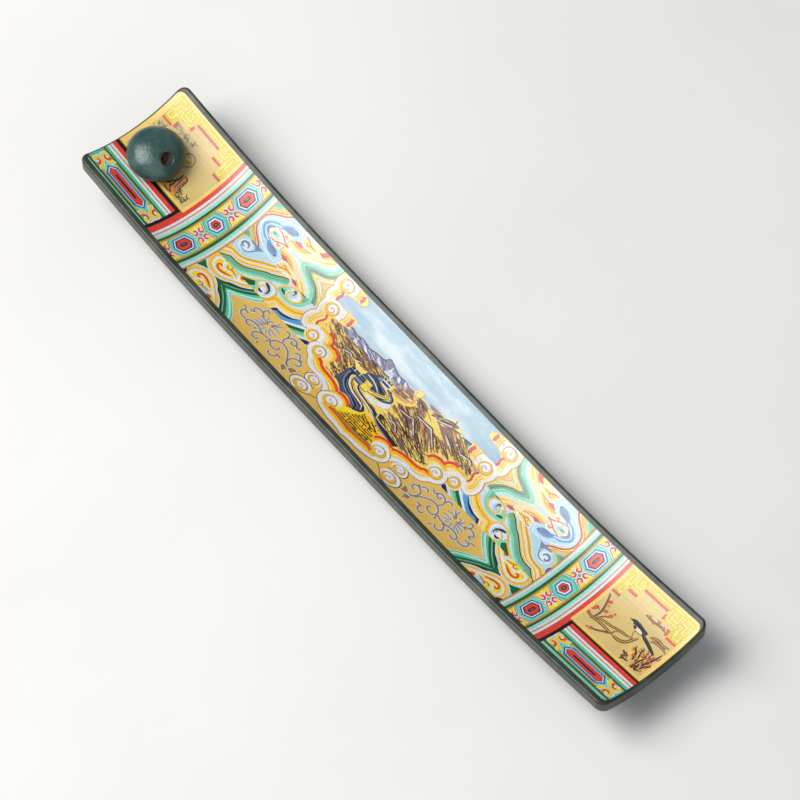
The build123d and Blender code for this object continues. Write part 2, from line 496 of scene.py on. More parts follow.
# ---- gold end panel, its border and stepped fret -----------------------------------
PANEL_IN = (94.9, 123.5, -5.0, 18.7)  # the gold field inside the panel's border
FRET_WIDE, FRET_FINE = 0.3, 0.17  # half widths of the fret's line and of the light along it
FRET_EDGE = (
    "94.9,18.7 94.9,10.5 98.3,10.5 98.3,13.7 102.4,13.7 102.4,16.7 113.5,16.7 113.5,13.3 118.5,13.3 "
    "118.5,10.5 123.5,10.5 123.5,18.7"
)
FRET_LINES = (
    "95.3,18.3 98.0,18.3 98.0,14.6 96.6,14.6 96.6,16.9",
    "95.5,14.0 97.7,14.0 97.7,11.2 96.3,11.2 96.3,12.8",
    "98.9,18.2 98.9,15.6 101.6,15.6 101.6,17.8 100.2,17.8 100.2,16.5", "99.0,14.5 102.0,14.5",
    "103.0,17.7 113.0,17.7", "103.0,18.4 103.0,17.0", "113.1,18.4 113.1,17.0",
    "114.0,18.2 118.2,18.2 118.2,15.3 115.6,15.3 115.6,16.9 116.9,16.9",
    "114.2,17.4 114.2,14.2 118.9,14.2", "119.2,18.3 119.2,16.4 121.6,16.4 121.6,14.0 122.9,14.0",
    "120.4,17.7 123.0,17.7 123.0,15.2", "119.3,13.4 120.6,13.4 120.6,11.4 122.6,11.4 122.6,12.9",
    "119.2,15.3 120.3,15.3 120.3,12.3",
)
FRET_RED = (  # x from, x to, y from, y to, colour
    (94.9, 98.2, 9.65, 10.5, "rose"), (98.6, 102.3, 12.85, 13.7, "rose"),
    (102.7, 113.0, 15.85, 16.65, "rose"), (113.1, 113.9, 13.4, 15.2, "red"),
    (117.75, 118.6, 10.3, 12.4, "rose"), (119.0, 123.2, 9.7, 10.45, "red"),
)


def fret_line(art, pts):
    """A line of straight runs, square at its corners, with a light line along its middle."""
    for (xa, ya), (xb, yb) in zip(pts, pts[1:]):
        for w, color, level in ((FRET_WIDE, "fret_edge", 4), (FRET_FINE, "fret_line", 5)):
            art.rect(color, level, min(xa, xb) - w, max(xa, xb) + w, min(ya, yb) - w, max(ya, yb) + w)


def end_panel():
    art = Art("end_panel", (PANEL_X, PRINT_X, SPLIT_Y, PRINT_Y))
    art.rect("gold_rim", 1, PANEL_X, PAST_END, SPLIT_Y, PRINT_Y)
    art.rect("panel", 2, *PANEL_IN)
    art.rect("gold_deep", 2, PANEL_X, PAST_END, SPLIT_Y, -5.6)
    art.poly("fret", 3, FRET_EDGE)
    for txt in FRET_LINES:
        fret_line(art, [q[:2] for q in read(txt)])
    for x0, x1, y0, y1, color in FRET_RED:
        art.rect(color, 6, x0, x1, y0, y1)
    return art


# ---- small paintings on the gold end panels ----------------------------------------
BRANCHES = (  # width, path
    (0.42, "95.6,8.7 96.6,7 97.6,4.8 98.3,2.6 98.1,0.4 97.6,-1.3"),
    (0.55, "95.2,-0.2 98,-0.5 101.5,-0.2 105,-0.4 107.5,-0.5"),
    (0.65, "107.3,-0.5 109.6,-0.3 111.4,0.7 112.3,2.4 113.4,4.3"),
    (0.5, "98.6,0.3 101,1 104,1.4 107,2.1 110,2.5 112.6,3.2"),
    (0.4, "100.2,-3.7 102,-2.9 104,-1.6 105.8,-0.4 106.6,1.3"), (0.3, "96.8,6.6 98.3,6.9"),
    (0.3, "98.2,3.1 100,4.2"), (0.3, "96,3.4 97.6,2.6"), (0.28, "99.2,1 100.6,2.4 102,3.4"),
    (0.4, "109,11.3 112,11.1 115.5,11.4 118,10.9"),
    (0.55, "115.6,7.0 117,7.6 118.6,7.9 120.5,7.6 122.8,8.2"),
    (0.5, "116.6,6.1 118,6.8 119.6,7.0 121.8,6.8 123,6.2"), (0.26, "113,12.4 115,11.3"),
)
BLOSSOMS = (  # x, y, radius
    (97.9, 6.8, 0.6), (98.4, 5.4, 0.35), (96.1, 2.7, 0.7), (95.7, 1.7, 0.4), (99.3, 3.7, 0.6),
    (101.6, 3.6, 0.65), (102.0, 4.9, 0.4), (95.6, 0.1, 0.5), (100.4, -3.5, 0.6), (99.2, -3.9, 0.35),
    (101.2, -3.0, 0.3), (100.4, 2.4, 0.4), (106.8, 1.5, 0.3), (110.2, 11.5, 0.5),
    (112.6, 10.8, 0.45), (114.0, 12.1, 0.5), (116.2, 11.6, 0.5), (117.6, 12.0, 0.4),
    (121.6, 1.2, 0.7), (116.7, -0.6, 0.65), (118.6, 1.6, 0.4), (122.3, 3.2, 0.5),
    (120.6, 2.4, 0.35), (122.4, -1.2, 0.45),
)
ROCK_CRACKS = (
    "119.5,-4.2 119.3,-1.5 120.2,1.4", "117.6,-2 116.4,0.4 114.9,1.8", "121,-1.5 122.2,2 122.8,5.6",
    "121.4,-2.8 122.4,-0.6 123.4,0.2", "116.9,-3.4 115.2,-3.8 114.2,-4.4",
    "118.5,-0.6 117.6,1.4 117.5,3",
)
ROCK_COLORS = ("plum", "umber", "rock_dark", "rock", "brown", "ochre", "blossom", "lemon", "orange")


def blossom(art, x, y, r, rnd):
    """Five petals round a pale middle."""
    for k in range(5):
        a = math.radians(72 * k + rnd.uniform(-15, 15))
        color = "blossom" if k % 2 else "red_soft"
        art.disc(color, 6, x + r * 0.62 * math.cos(a), y + r * 0.62 * math.sin(a), r * 0.52, n=9)
    art.disc("peach", 7, x, y, r * 0.28, n=7)


def bird(art):
    art.fill("slate", 5, "107.6,7.7 109,8.2 111.5,7.9 114.2,6.8 113.6,5.8 111.8,5.3 109.6,5.7 108.2,6.7")
    art.fill("cream", 6, "108.6,6.6 110.2,6.9 112.6,6.3 113,5.8 111.4,5.5 109.6,5.9")
    art.fill("black", 7, "106.2,7.2! 107.4,7.9 108.6,8.2 110,7.8 112,7.6 114.2,7.4! 113.8,6.7 "
        "111.6,6.7 110,6.7 108.8,6.9 107.8,7.1")
    art.fill("black", 7, "108.8,6.8 109.8,6.6 110.4,5.9 109.8,5.8 109,6.2")
    art.fill("black", 7, "112.6,6.2! 115,6 117.6,5.2 120,4.2 121.2,3.4! 119.4,3.5 116.4,4.5 114,5.2")
    art.line("slate", 8, 0.22, "113.5,5.8 116.5,5.1 119.8,3.9")
    art.line("brown", 6, 0.22, "110.8,5.4 110.6,4.6 111.4,3.2")


def near_rock(art, rnd):
    """Short bent strokes below a slanting line, then dark cracks over them."""
    for _ in range(120):
        x, y = rnd.uniform(114.4, 123), rnd.uniform(-4.6, 3.2)
        if y > 0.5 + (x - 114) * 0.45:
            continue
        a = math.radians(rnd.choice((52, 68, 100, 118, 135)) + rnd.uniform(-12, 12))
        n = rnd.uniform(0.7, 1.9)
        bend = (x + n * 0.5 * math.cos(a) + 0.1, y + n * 0.5 * math.sin(a))
        end = (x + n * math.cos(a + 0.3), y + n * math.sin(a + 0.3))
        color, level = rnd.choice(ROCK_COLORS), rnd.choice((4, 5))
        art.line(color, level, rnd.uniform(0.3, 0.7), [(x, y), bend, end], (0.4, 0.2))
    for txt in ROCK_CRACKS:
        art.line("rock_dark", 6, 0.5, txt, (1, 0.2))


def near_painting():
    """Bird on a flowering branch, with a rock at its foot."""
    art = Art("near_painting", (94.9, 123.6, -5, 14))
    rnd = random.Random(5)
    for w, txt in BRANCHES:
        art.line("plum", 4, w * 1.75, txt, (0.7, 0.3))
        art.line("ochre" if w > 0.45 else "rock", 5, w * 0.6, txt, (0.5, 0.2))
    for x, y, r in BLOSSOMS:
        blossom(art, x, y, r, rnd)
    bird(art)
    near_rock(art, rnd)
    return art


TUFTS = (  # region, count, colours
    ((-100.6, -96, -4.4, -1.4), 60, ("ink", "rock_dark", "ink", "olive")),
    ((-106.5, -103.4, -3.8, -1.2), 30, ("ink", "olive", "rock_dark")),
    ((-118, -108, 10.3, 12.1), 60, ("mist", "mist", "rock", "slate")),
    ((-123, -119.5, 6.8, 8.4), 14, ("ink", "green_grey", "olive")),
)
RING_MARK = (-106.2, 7.0)


def far_rock(art):
    art.fill("orange", 4, "-103.2,2.4 -102.4,2.9 -101.2,2.4 -100.9,0.8 -100.5,-1.4 -100.6,-3.6 -103,-3.8 "
                          "-102.6,-1 -103.3,0.6")
    art.line("peach", 5, 0.5, "-102,2.2 -101.9,0.2 -101.4,-2.2")
    art.line("rock", 5, 0.4, "-101.3,1.6 -101.1,-0.6 -100.9,-3.4")
    for txt in ("-102.6,2.9 -101.2,2.6 -100.8,1 -100.4,-1.2", "-102.4,1.6 -102.0,-0.4 -101.6,-2.6",
                "-103.2,-2.4 -102.6,-3.6 -101.4,-3.9"):
        art.line("rock_dark", 6, 0.34, txt, (0.6, 0.4))
    art.line("ink", 6, 0.45, "-103.4,2.6 -103.1,0.9 -103.5,-0.5 -103.0,-1.6 -103.4,-3.2")
    art.fill("ochre", 4, "-107,-4.6 -105,-3.7 -102.5,-3.5 -99.6,-4 -98,-4.6 -103,-4.9")
    art.line("ink", 6, 0.4, "-104.4,-4.3 -102.9,-4.5 -101.3,-4.2")
    art.line("orange", 5, 0.5, "-105.6,-4.2 -103,-3.9 -100.6,-4.1")


def tuft(art, region, names, rnd):
    """One short blade of foliage somewhere in a region."""
    x0, x1, y0, y1 = region
    x, y = rnd.uniform(x0, x1), rnd.uniform(y0, y1)
    a = rnd.uniform(0.6, 2.6)
    d = rnd.uniform(0.5, 1.3)
    tip = (x + d * math.cos(a), y + d * math.sin(a))
    color, level = rnd.choice(names), rnd.choice((4, 5))
    art.line(color, level, rnd.uniform(0.25, 0.46), [(x, y), tip], (1, 0.3))


def far_painting():
    """Upright rock, foliage and a ringed mark; the bead hides the rest."""
    art = Art("far_painting", (-123.6, -94.9, -5.2, 14))
    rnd = random.Random(9)
    far_rock(art)
    for region, count, names in TUFTS:
        for _ in range(count):
            tuft(art, region, names, rnd)
    x, y = RING_MARK
    art.disc("gold_pale", 4, x, y, 1.8, 1.75, 20)
    for r, color in ((2.3, "slate"), (1.75, "ochre"), (1.2, "olive")):
        art.line(color, 5, 0.22, spiral(x, y, r, r * 0.97, -150, 0.85))
    art.fill("ochre", 6, "-107.6,6.4 -106,6.9 -104.9,7.4 -105.4,5.9 -106.8,5.5")
    art.line("orange", 4, 0.5, "-123,6.4 -121.4,5.6 -122,4.8")
    return art


# ---- lower field: gold panel with scrollwork, chevron bands, two teardrops ------------
SCROLLS = (
    ("30.0,-15.5 31.4,-14 33.2,-12.1 35.3,-11 37.6,-11 39.5,-12.2 39.8,-13.7 38.6,-14.6 36.9,-14.4 "
     "36,-13.5 36.7,-12.9"),
    "28.7,-13 27.5,-12.6 27.4,-11.5 28.9,-11 30.6,-11.7 31.3,-13.2 30.6,-14.8 29.2,-15.4",
    "33.3,-15.2 34.4,-15.2",
    "34.9,-14.9 34.6,-16 35.4,-17.1 36.8,-17.2 37.3,-16.4",
    "32.2,-7.9 33.2,-8.4 34,-8 34.8,-7.1 36.6,-7.1 37.9,-8.2 38.2,-9.6 37.5,-10.6",
    "34.3,-7.9 34.7,-8.7 35.8,-8.7 36.2,-8",
    "38.2,-8.1 38.4,-7.1 39.4,-6.7 40.2,-7.2",
    "29.6,-10.4 30.0,-9.6 31.2,-9.3 32.1,-10",
    "28.2,-10.4 29.3,-10.7",
    ("40.3,-13.1 42.4,-13.7 44.5,-13.6 46.5,-13.1 49,-13.2 50.5,-14.2 50.2,-15.1 49.2,-15.4 "
     "48.3,-15.1"),
    "40.2,-13.4 40.9,-14.9",
    "43.6,-13.9 45.1,-14.7 45.6,-16 44.8,-17 43.5,-17.1 42.8,-16.2",
    "41.4,-17.8 42,-17.2",
    "46.3,-14.1 47,-14.6",
    "51,-14.5 52.7,-14.6 54.1,-14 54.5,-12.9 53.8,-12.2 52.4,-12.4",
    "54.1,-12.2 54.6,-11.5 55.7,-11.4",
    "48.4,-9.3 50.2,-8.4 51.8,-8.5 52.9,-9.3 52.5,-10 51.8,-10.2 52.5,-10.9 53.2,-10.7",
    "48.5,-7 49.5,-6.6 50.1,-7.4 49.9,-8.3",
)
PETALS = (
    "40.8,-9.4 42.8,-9.1 44.4,-9.9", "40.8,-10.9 42.6,-10.8 44.2,-10.8",
    "42,-7.2 42.8,-7.9 44.4,-9.5", "43.5,-6.8 43.4,-7.8 44.7,-9.3", "45,-8.4 46.2,-8.7 46,-9.8",
    "47.2,-8.1 46.9,-9.3 45.5,-10.2", "49.6,-9.6 47.6,-9.7 46,-10.4",
    "49.2,-11 47.6,-10.7 46,-10.8", "49.3,-12.3 47.6,-11.7 46.2,-11.2", "47.4,-12.5 46.2,-11.8",
    "45.5,-12.8 45,-11.5", "42,-12.1 43.6,-11.5", "43.2,-12.9 44.1,-11.9",
)
LEAVES = (
    "26.1,-14.3 27,-14.2 27.9,-14.6 28.7,-15.5 27.8,-16.2 26.5,-16.3 26.5,-15.3",
    "28.4,-16.8 29.4,-16.1 30.6,-16 30.7,-17.2 29.9,-17.5 28.9,-18.3 29,-17.3",
)


LOW_TOP, HIGH_FOOT = -5.4, 5.6  # where the lower field ends and the upper one begins
FIELD_END = 76.35  # where the fields meet the cross bands


def lotus_panel():
    """Scrollwork of bronze lines, each over a wider pale halo, and two leaves."""
    art = Art("lotus_panel", (14, 62, -PRINT_Y, LOW_TOP))
    art.rect("gold", 1, 14, 62, -PRINT_Y, LOW_TOP)
    for group, halo, core in ((SCROLLS, 1.12, 0.5), (PETALS, 0.9, 0.34)):
        for txt in group:
            art.line("ice", 3, halo, txt)
            art.line("bronze", 5, core, txt)
    for txt in LEAVES:
        path = curve(txt, True)
        art.ribbon("ice", 3, path + path[:1], -0.25, 0.25)
        art.fill("bronze", 4, txt)
    return art


def chevron_drops():
    """Drawn in the upper half and mirrored, then what differs along the lower edge."""
    art = Art("chevron_drops", (52, FIELD_END, -PRINT_Y, LOW_TOP))
    mid = -12.2
    art.rect("mint", 1, 61.5, FIELD_END, -PRINT_Y, LOW_TOP)
    chevron(art)
    teardrop(art)
    art.poly("green_dark", 3, "72.6,-12.2 76.4,-10.3 76.4,-12.2")
    art.poly("mint", 2, "75.4,-9.8 76.4,-8 76.4,-11.2 74.2,-11.2")
    art.flipped_y(mid, 1)
    art.fill("ice", 9, "64.5,-19.4! 65.2,-18.3 66.6,-18 68.6,-18.9 69.5,-19.4!")
    art.fill("navy", 9, "74.6,-19.4! 75.5,-18.2 76.4,-17.8! 76.4,-19.4!")
    art.poly("navy", 9, "75.9,-5.4 76.4,-5.4 76.4,-6.3")
    return art


def chevron(art):
    art.fill("green", 2, "52.3,-5.0! 54.4,-7.4 57,-9.5 59.6,-11.2 61.4,-12.2! 64.2,-12.2! 62,-10.9 "
        "60,-9.4 57.7,-7.5 55.2,-5.0!")
    art.line("mint_pale", 3, 0.7, "53.6,-5 55.6,-7.2 58.3,-9.3 60.6,-10.9 62.8,-12.2")
    art.line("mint", 4, 0.3, "53.0,-5 55.1,-7.3 57.9,-9.6 60.4,-11.5")
    art.line("white", 4, 0.2, "52.3,-5.0 54.4,-7.4 57,-9.5 59.6,-11.2 61.4,-12.2")
    art.fill("green_dark", 3, "55.2,-5.0! 57.7,-7.5 60,-9.4 62,-10.9 64.2,-12.2! 68.9,-12.2! "
        "66.8,-11.2 65,-10.1 63.8,-9.6 62,-8.6 60,-7.1 58,-5.0!")
    art.line("green_mid", 4, 0.4, "56.7,-5 58.8,-7 61.2,-9.1 63.3,-10.5 65.6,-11.9", (1, 0.4))
    art.line("green_black", 4, 0.62, "57.9,-5.0 59.9,-7 62,-8.6 64,-9.7 65.4,-10.4 67.2,-11.4 69.4,-12.3")


def teardrop(art):
    art.fill("gold_warm", 4, "58.2,-5.0! 60.3,-6.9 62.5,-8.2 64.6,-9.2 66.3,-10.6 68.4,-11.5 "
        "70.6,-11.9 73,-11.5 74.9,-10.3 76,-8.4 76.1,-6.6 75.7,-5.0!")
    art.line("lavender", 5, 0.42, "58.5,-5.0 60.4,-6.9 62.4,-8.3 64.5,-9.2 66.1,-10.6 68.3,-11.7 "
        "70.6,-12.1 73.2,-11.7 75.2,-10.4 76.3,-8.3 76.4,-6")
    art.line("orange", 5, 0.2, "60.4,-5.6 63.5,-8 66.3,-9.6 69,-11 71.5,-11.3 74,-10 75.2,-7.6 74.6,-5.4")
    art.fill("white", 5, "60.6,-5.0! 62.6,-7 64.7,-8.2 66.6,-9.4 68.7,-10.4 71.2,-10.6 73.4,-9.8 "
        "74.6,-8.1 74.5,-6.4 73.3,-5.7 71.6,-5.9 70.6,-5.0!")
    art.fill("yellow", 6, "65.1,-7.7 67.2,-9.0 69.3,-10 71.5,-10 73.2,-9 73.9,-7.5 73.3,-6.4 72,-6.3 "
        "71.5,-7.1 70.6,-7.8 68.6,-7.7 66.6,-7.4")
    art.fill("gold_pale", 7, "68.9,-8.1 70.3,-8.7 71.3,-8.6 71.3,-8 70.1,-7.7")
    art.line("red", 8, 0.75, "66.4,-7.9 68.2,-8.8 70.2,-9.4 71.7,-9.2 72.3,-8.3 71.8,-7.6 71,-7.9",
        (0.35, 0.8))
    art.fill("yellow", 6, "63.6,-7.0! 65.4,-6.4 67.4,-5.0! 70.4,-5.0 70.9,-6.3 70,-7.2 67.4,-7.1")
    art.line("red", 8, 0.36, "65.2,-6.8 67,-6.5 68.4,-6.0 68.6,-5.2", (0.4, 1))
    art.line("red", 8, 0.36, "68,-6.2 68.8,-7 69.8,-6.8 69.9,-6.2")
    art.fill("yellow", 6, "60.9,-5.0! 62.4,-6.1 63.6,-6.7 64.4,-6 65.4,-5.0!")
    art.fill("red", 7, "62.6,-5.0! 63.2,-6 64.2,-6 64.9,-5.0!")
    art.fill("ice", 6, "65.6,-5.0! 65,-6 66,-6 67.2,-5.0!")


# ---- middle strip: sweeping bands and two spirals ----------------------------------------
def sweep_strip():
    art = Art("sweep_strip", (32, FIELD_END, LOW_TOP, HIGH_FOOT))
    art.rect("gold_warm", 1, 32, FIELD_END, LOW_TOP, HIGH_FOOT)
    sweep_bands(art)
    cloud_end(art)
    first_spiral(art)
    low_gold(art)
    stripes(art)
    second_spiral(art)
    return art


def sweep_bands(art):
    """Green, gold and white bands side by side across the whole strip."""
    dark = (
        "54.0,5.9 56.2,4.8 58,3.6 59.3,2.7 60.7,2.1 62.5,0.9 64.5,-0.6 67,-2.2 69.5,-3 72.4,-3.1! "
        "74,-4.2 76.6,-5.8"
    )
    art.fill("lavender", 2, "48.5,5.9! 54.0,5.9! 58,3.6 60.7,2.1 64.5,-0.6 67,-2.2 69.5,-3 72.4,-3.1! "
        "76.6,-5.8! 66,-5.8! 63.5,-4.6 61.5,-3.2 59.8,-1.7 58.6,-0.3 56.6,0.5 54.2,0.5 52,2.5")
    art.bands(3, dark, ((-1.75, -0.3, "green_mid"), (-2.45, -1.75, "mint"), (-2.9, -2.45, "mint_pale")))
    art.bands(4, dark, ((-0.32, 0, "green_black"), (-1.0, -0.75, "green_grey"), (-1.6, -1.35, "green")))
    art.fill("ice", 3, "56.2,4.9! 58.2,3.7! 60,2.6 58.4,3.2")
    art.line("lavender", 4, 0.32, "55.4,5.9 57.6,4.6 59.3,3.2 61,2.7 62.8,1.5 65,0 67.2,-1.5 70,-2.5 "
        "72.8,-2.6 74.5,-3.7 76.6,-5")
    wide = "58.2,5.9 60,4.5 61.8,3.3 63.8,2 66,0.5 68,-0.8 70.2,-1.6 73,-1.8 74.6,-2.5 76.6,-4"
    art.bands(2, wide, ((-1.0, -0.2, "gold_warm"), (-0.2, 0.5, "gold_pale"), (0.5, 1.3, "panel")))
    art.bands(3, wide, ((-0.75, -0.55, "orange"), (0.35, 0.5, "white")))
    art.line("gold_deep", 4, 0.5, "60.0,5.9 61,4.8 62.4,4 64.5,2.9 66.5,1.4 68.5,0 70.5,-0.9 72.5,-1.2 "
        "74.5,-1.3 76.6,-2.6")
    art.line("lavender", 5, 0.3, "60.9,5.9 62.4,4.9 64.6,3.7 66.6,2.3 68.6,0.8 70.5,-0.2 72.5,-0.4 "
        "74.4,-0.2 75.5,0.8")


def cloud_end(art):
    """Pale cloud that ends the bands, its swirl and the corners beside it."""
    art.fill("ice", 4, "61.2,5.9! 62.6,5 64.8,3.8 66.6,2.4 68.6,0.9 70.5,0 72.5,-0.2 74.4,0 75.4,1.2 "
        "75.7,2.6 75.2,4.2 73.8,5.1 73.2,5.9!")
    art.fill("cloud", 5, "70.2,3.4 71.2,4.6 73.2,4.7 74.8,3.4 74.6,1.7 73.2,0.7 71.6,0.8 70.2,2")
    art.fill("blue_grey", 5, "66.4,5.9! 72.6,5.9! 72.2,5.1 70.2,4.8 69.2,4 68.6,4.6 67.6,5.1")
    art.line("blue_grey", 6, 0.42, "67.8,5.1 69,3.7 69.8,2.3 71,1.4 72.6,1.3 73.8,1.9", (1, 0.4))
    art.line("blue_grey", 6, 0.8, "71.3,2.7 71.5,3.5 72.5,3.9 73.6,3.5 73.8,2.7 73.1,2.1 72.4,2.3",
        (0.5, 0.5))
    art.line("blue_grey", 7, 0.3, "71.6,3.6 72.8,3.9 73.7,3.1", (0.5, 0.5))
    art.fill("mint", 4, "73.4,5.9! 76.5,5.9! 76.5,3.1! 75.8,4.4 74.5,5.2")
    art.fill("green_mid", 5, "74.4,5.9! 76.5,5.9! 76.5,4! 75.4,5.1")
    art.fill("lavender", 5, "76.5,2.6! 75.7,1.9 75.3,0.9 75.5,-0.2 76.5,-1.7!")
    art.fill("blue", 6, "76.5,2.0! 75.8,1.3 75.7,0.2 76,-0.5 76.5,-1.2!")


def first_spiral(art):
    art.fill("lavender", 3, "41.4,5.9! 43.2,5.9! 44,4 45.4,2 47.6,0.7 50,0.2 52.4,0.6 54.4,1.6 54,0 "
        "51.6,-0.9 48.6,-1.1 45.6,-0.5 43.2,0.9 41.7,3")
    art.fill("mint", 4, "43.0,5.9! 44.6,5.9! 45,4 46,2.2 47.8,1.2 50,0.9 52.4,1.2 54,1.9 53.6,0.6 "
        "51,-0.1 48.2,-0.1 45.8,0.9 44.1,2.6")
    art.fill("green_mid", 5, "44.3,5.9! 48.9,5.9! 46.8,5.2 45.7,4.2 45.3,3.2 44.7,4.2")
    art.fill("slate", 6, "45.7,5.5 46.8,5.2 48.6,5.3 47.6,5.6 46.4,5.7")
    art.fill("white", 5, "53.8,2.1 52.4,3.7 50.5,4.9 48.3,5.2 46.5,4.4 45.8,3.1 46.6,1.7 48.2,1 50,1.1 "
        "51.4,1.2")
    art.fill("ice", 6, "48.8,4.7 47.9,3.6 48,2.4 49,1.5 50.2,1.8 50.5,2.8 49.8,3.6 49.2,3.6 50,4.6")
    art.fill("mint", 6, "51,3.9 51.6,2.9 51.6,1.9 53.8,2 52.4,3.6")
    art.fill("green_dark", 7, "50.9,1.2 52,2.0 53.6,2.1 53.2,1.5 51.8,1.1")
    art.fill("slate", 7, "48.9,4.6 50,4.4 49.9,3.8 49,3.4 49.3,2.6 48.7,3")
    art.line("honey", 8, 0.56, "54.1,0.6 54.1,1.6 53.7,2.2 52.4,3.8 50.5,4.9 48.3,5.2 46.5,4.4 "
        "45.8,3.1 46.6,1.7 48.2,1.0 49.9,1.1 50.8,2.0 50.6,3.1 49.8,3.8 49.2,3.4")


def low_gold(art):
    """Gold bands under the first spiral."""
    low = "41.2,1.0 42.6,-0.1 44.5,-1.3 46.6,-2 49,-2.4 51.4,-2.6 52.3,-4.2 53.6,-5.9"
    art.bands(4, low, ((-0.9, -0.3, "gold_pale"), (-0.3, 0.3, "gold_warm"), (0.35, 0.95, "amber"),
        (0.95, 1.7, "gold_warm")))
    art.line("gold_deep", 5, 0.3, "42.0,1.0 43.7,-0.3 46.3,-1.2 49,-1.6 51.6,-1.8 52.6,-3.4 54,-5.3")


STRIPES = (  # where each starts at the strip's lower edge, and its colour
    (31.0, "ice"), (33.4, "navy"), (36.4, "lavender"), (38.2, "mint"), (39.6, "green_mid"),
    (41.2, "green_dark"), (43.4, "white"), (44.8, "ice"), (46.4, "blue_soft"),
)
STRIPES_END, STRIPE_LEAN = 49, 9


def stripes(art):
    """Diagonal stripes beside the frame and the dark wave over them."""
    ends = [x for x, _ in STRIPES[1:]] + [STRIPES_END]
    for (x0, color), x1 in zip(STRIPES, ends):
        top = [(x0 - STRIPE_LEAN, -0.45), (x1 - STRIPE_LEAN, -0.45)]
        art.poly(color, 3, top + [(x1, -5.6), (x0, -5.6)])
    art.fill("blue_soft", 4, "38.6,-0.6! 41,-1.2! 43,-2.6 45.5,-3.6 48,-4.2 48.9,-5.9! 45.6,-5.9! "
        "42.2,-4 39.6,-2.4")
    art.fill("navy", 5, "40.7,-0.8! 42.5,-2.3 45,-3.3 47,-3.8 49,-3.8! 50.3,-5.9! 49.2,-5.9! 48.2,-4.5 "
        "46,-4.4 43.8,-3.6 42,-2.4")
    art.line("white", 6, 0.34, "40.8,-0.5 43,-2.2 45.8,-3.1 49.3,-3.5 50.7,-5.8")


def second_spiral(art):
    art.fill("white", 6, "54,0.3 52.9,-1 52.8,-2.8 53.9,-4.6 55.8,-5.3 57.8,-4.9 58.8,-3.6 59.6,-2 "
        "59,-0.9 57.5,0.1 55.6,0.5")
    art.fill("ice", 7, "54.6,-1 53.9,-2.4 54.4,-3.8 55.6,-4.6 55,-3.2 55,-1.8 56,-0.8 57.6,-0.4 56,-0.2")
    art.line("blue_soft", 7, 0.7, "58.2,-0.9 57,-1 55.9,-1.8 55.4,-2.8 55.6,-3.6", (0.3, 0.3))
    art.line("navy", 8, 0.85, "58,-0.5 56.6,-0.9 55.5,-1.6 54.9,-2.6 55.1,-3.5", (0.3, 0.3))
    art.line("navy", 8, 0.7, "56.1,-3.7 57.2,-4 58.1,-3.4", (0.4, 0.4))
    art.line("honey", 8, 0.56, "66.7,-5.7 64,-4.5 61.5,-3 59.7,-1.4 58.3,-0.1 56.4,0.5 54.6,0.4 "
        "53.3,-0.4 52.8,-2 53.4,-4 55,-5.2 57,-5.2 58.5,-4 58.5,-2.8 57.4,-1.8 56.1,-1.6 55.3,-2.3 "
        "55.5,-3.2")
    art.fill("mint", 5, "58.6,-4.6! 59.4,-2.7 60.6,-2.2! 66.4,-5.9! 58.4,-5.9!")
    art.fill("green_dark", 6, "59.6,-3.9! 60.8,-2.9 62.5,-3.9 65.6,-5.9! 61.8,-5.9! 60.2,-4.8")


# ---- upper field: grey chevron, gold lobes, pale cloud collar with a knot ---------------
COLLAR_MID = 12.15


def cloud_collar():
    """Each part is drawn on the lower side and mirrored before the next goes over it."""
    art = Art("cloud_collar", (41, FIELD_END, HIGH_FOOT, PRINT_Y))
    art.rect("gold_pale", 1, 41, FIELD_END, HIGH_FOOT, PRINT_Y)
    art.fill("mint_pale", 2, "60.5,12.15! 56,12.8 53,14.6 49.5,16 47.4,17.6 46.4,20! 43,20! 44.4,17.4 "
        "47,15.2 50,14 52.6,13.4 54.4,12.15!")
    art.flipped_y(COLLAR_MID, 1)
    for part in (gold_lobes, pale_collar):
        art.flipped_y(COLLAR_MID, part(art))
    art.disc("mint", 13, 68.6, COLLAR_MID, 1.5, 0.62)
    art.disc("green_grey", 14, 69.3, COLLAR_MID, 0.8, 0.4)
    collar_corners(art)
    return art


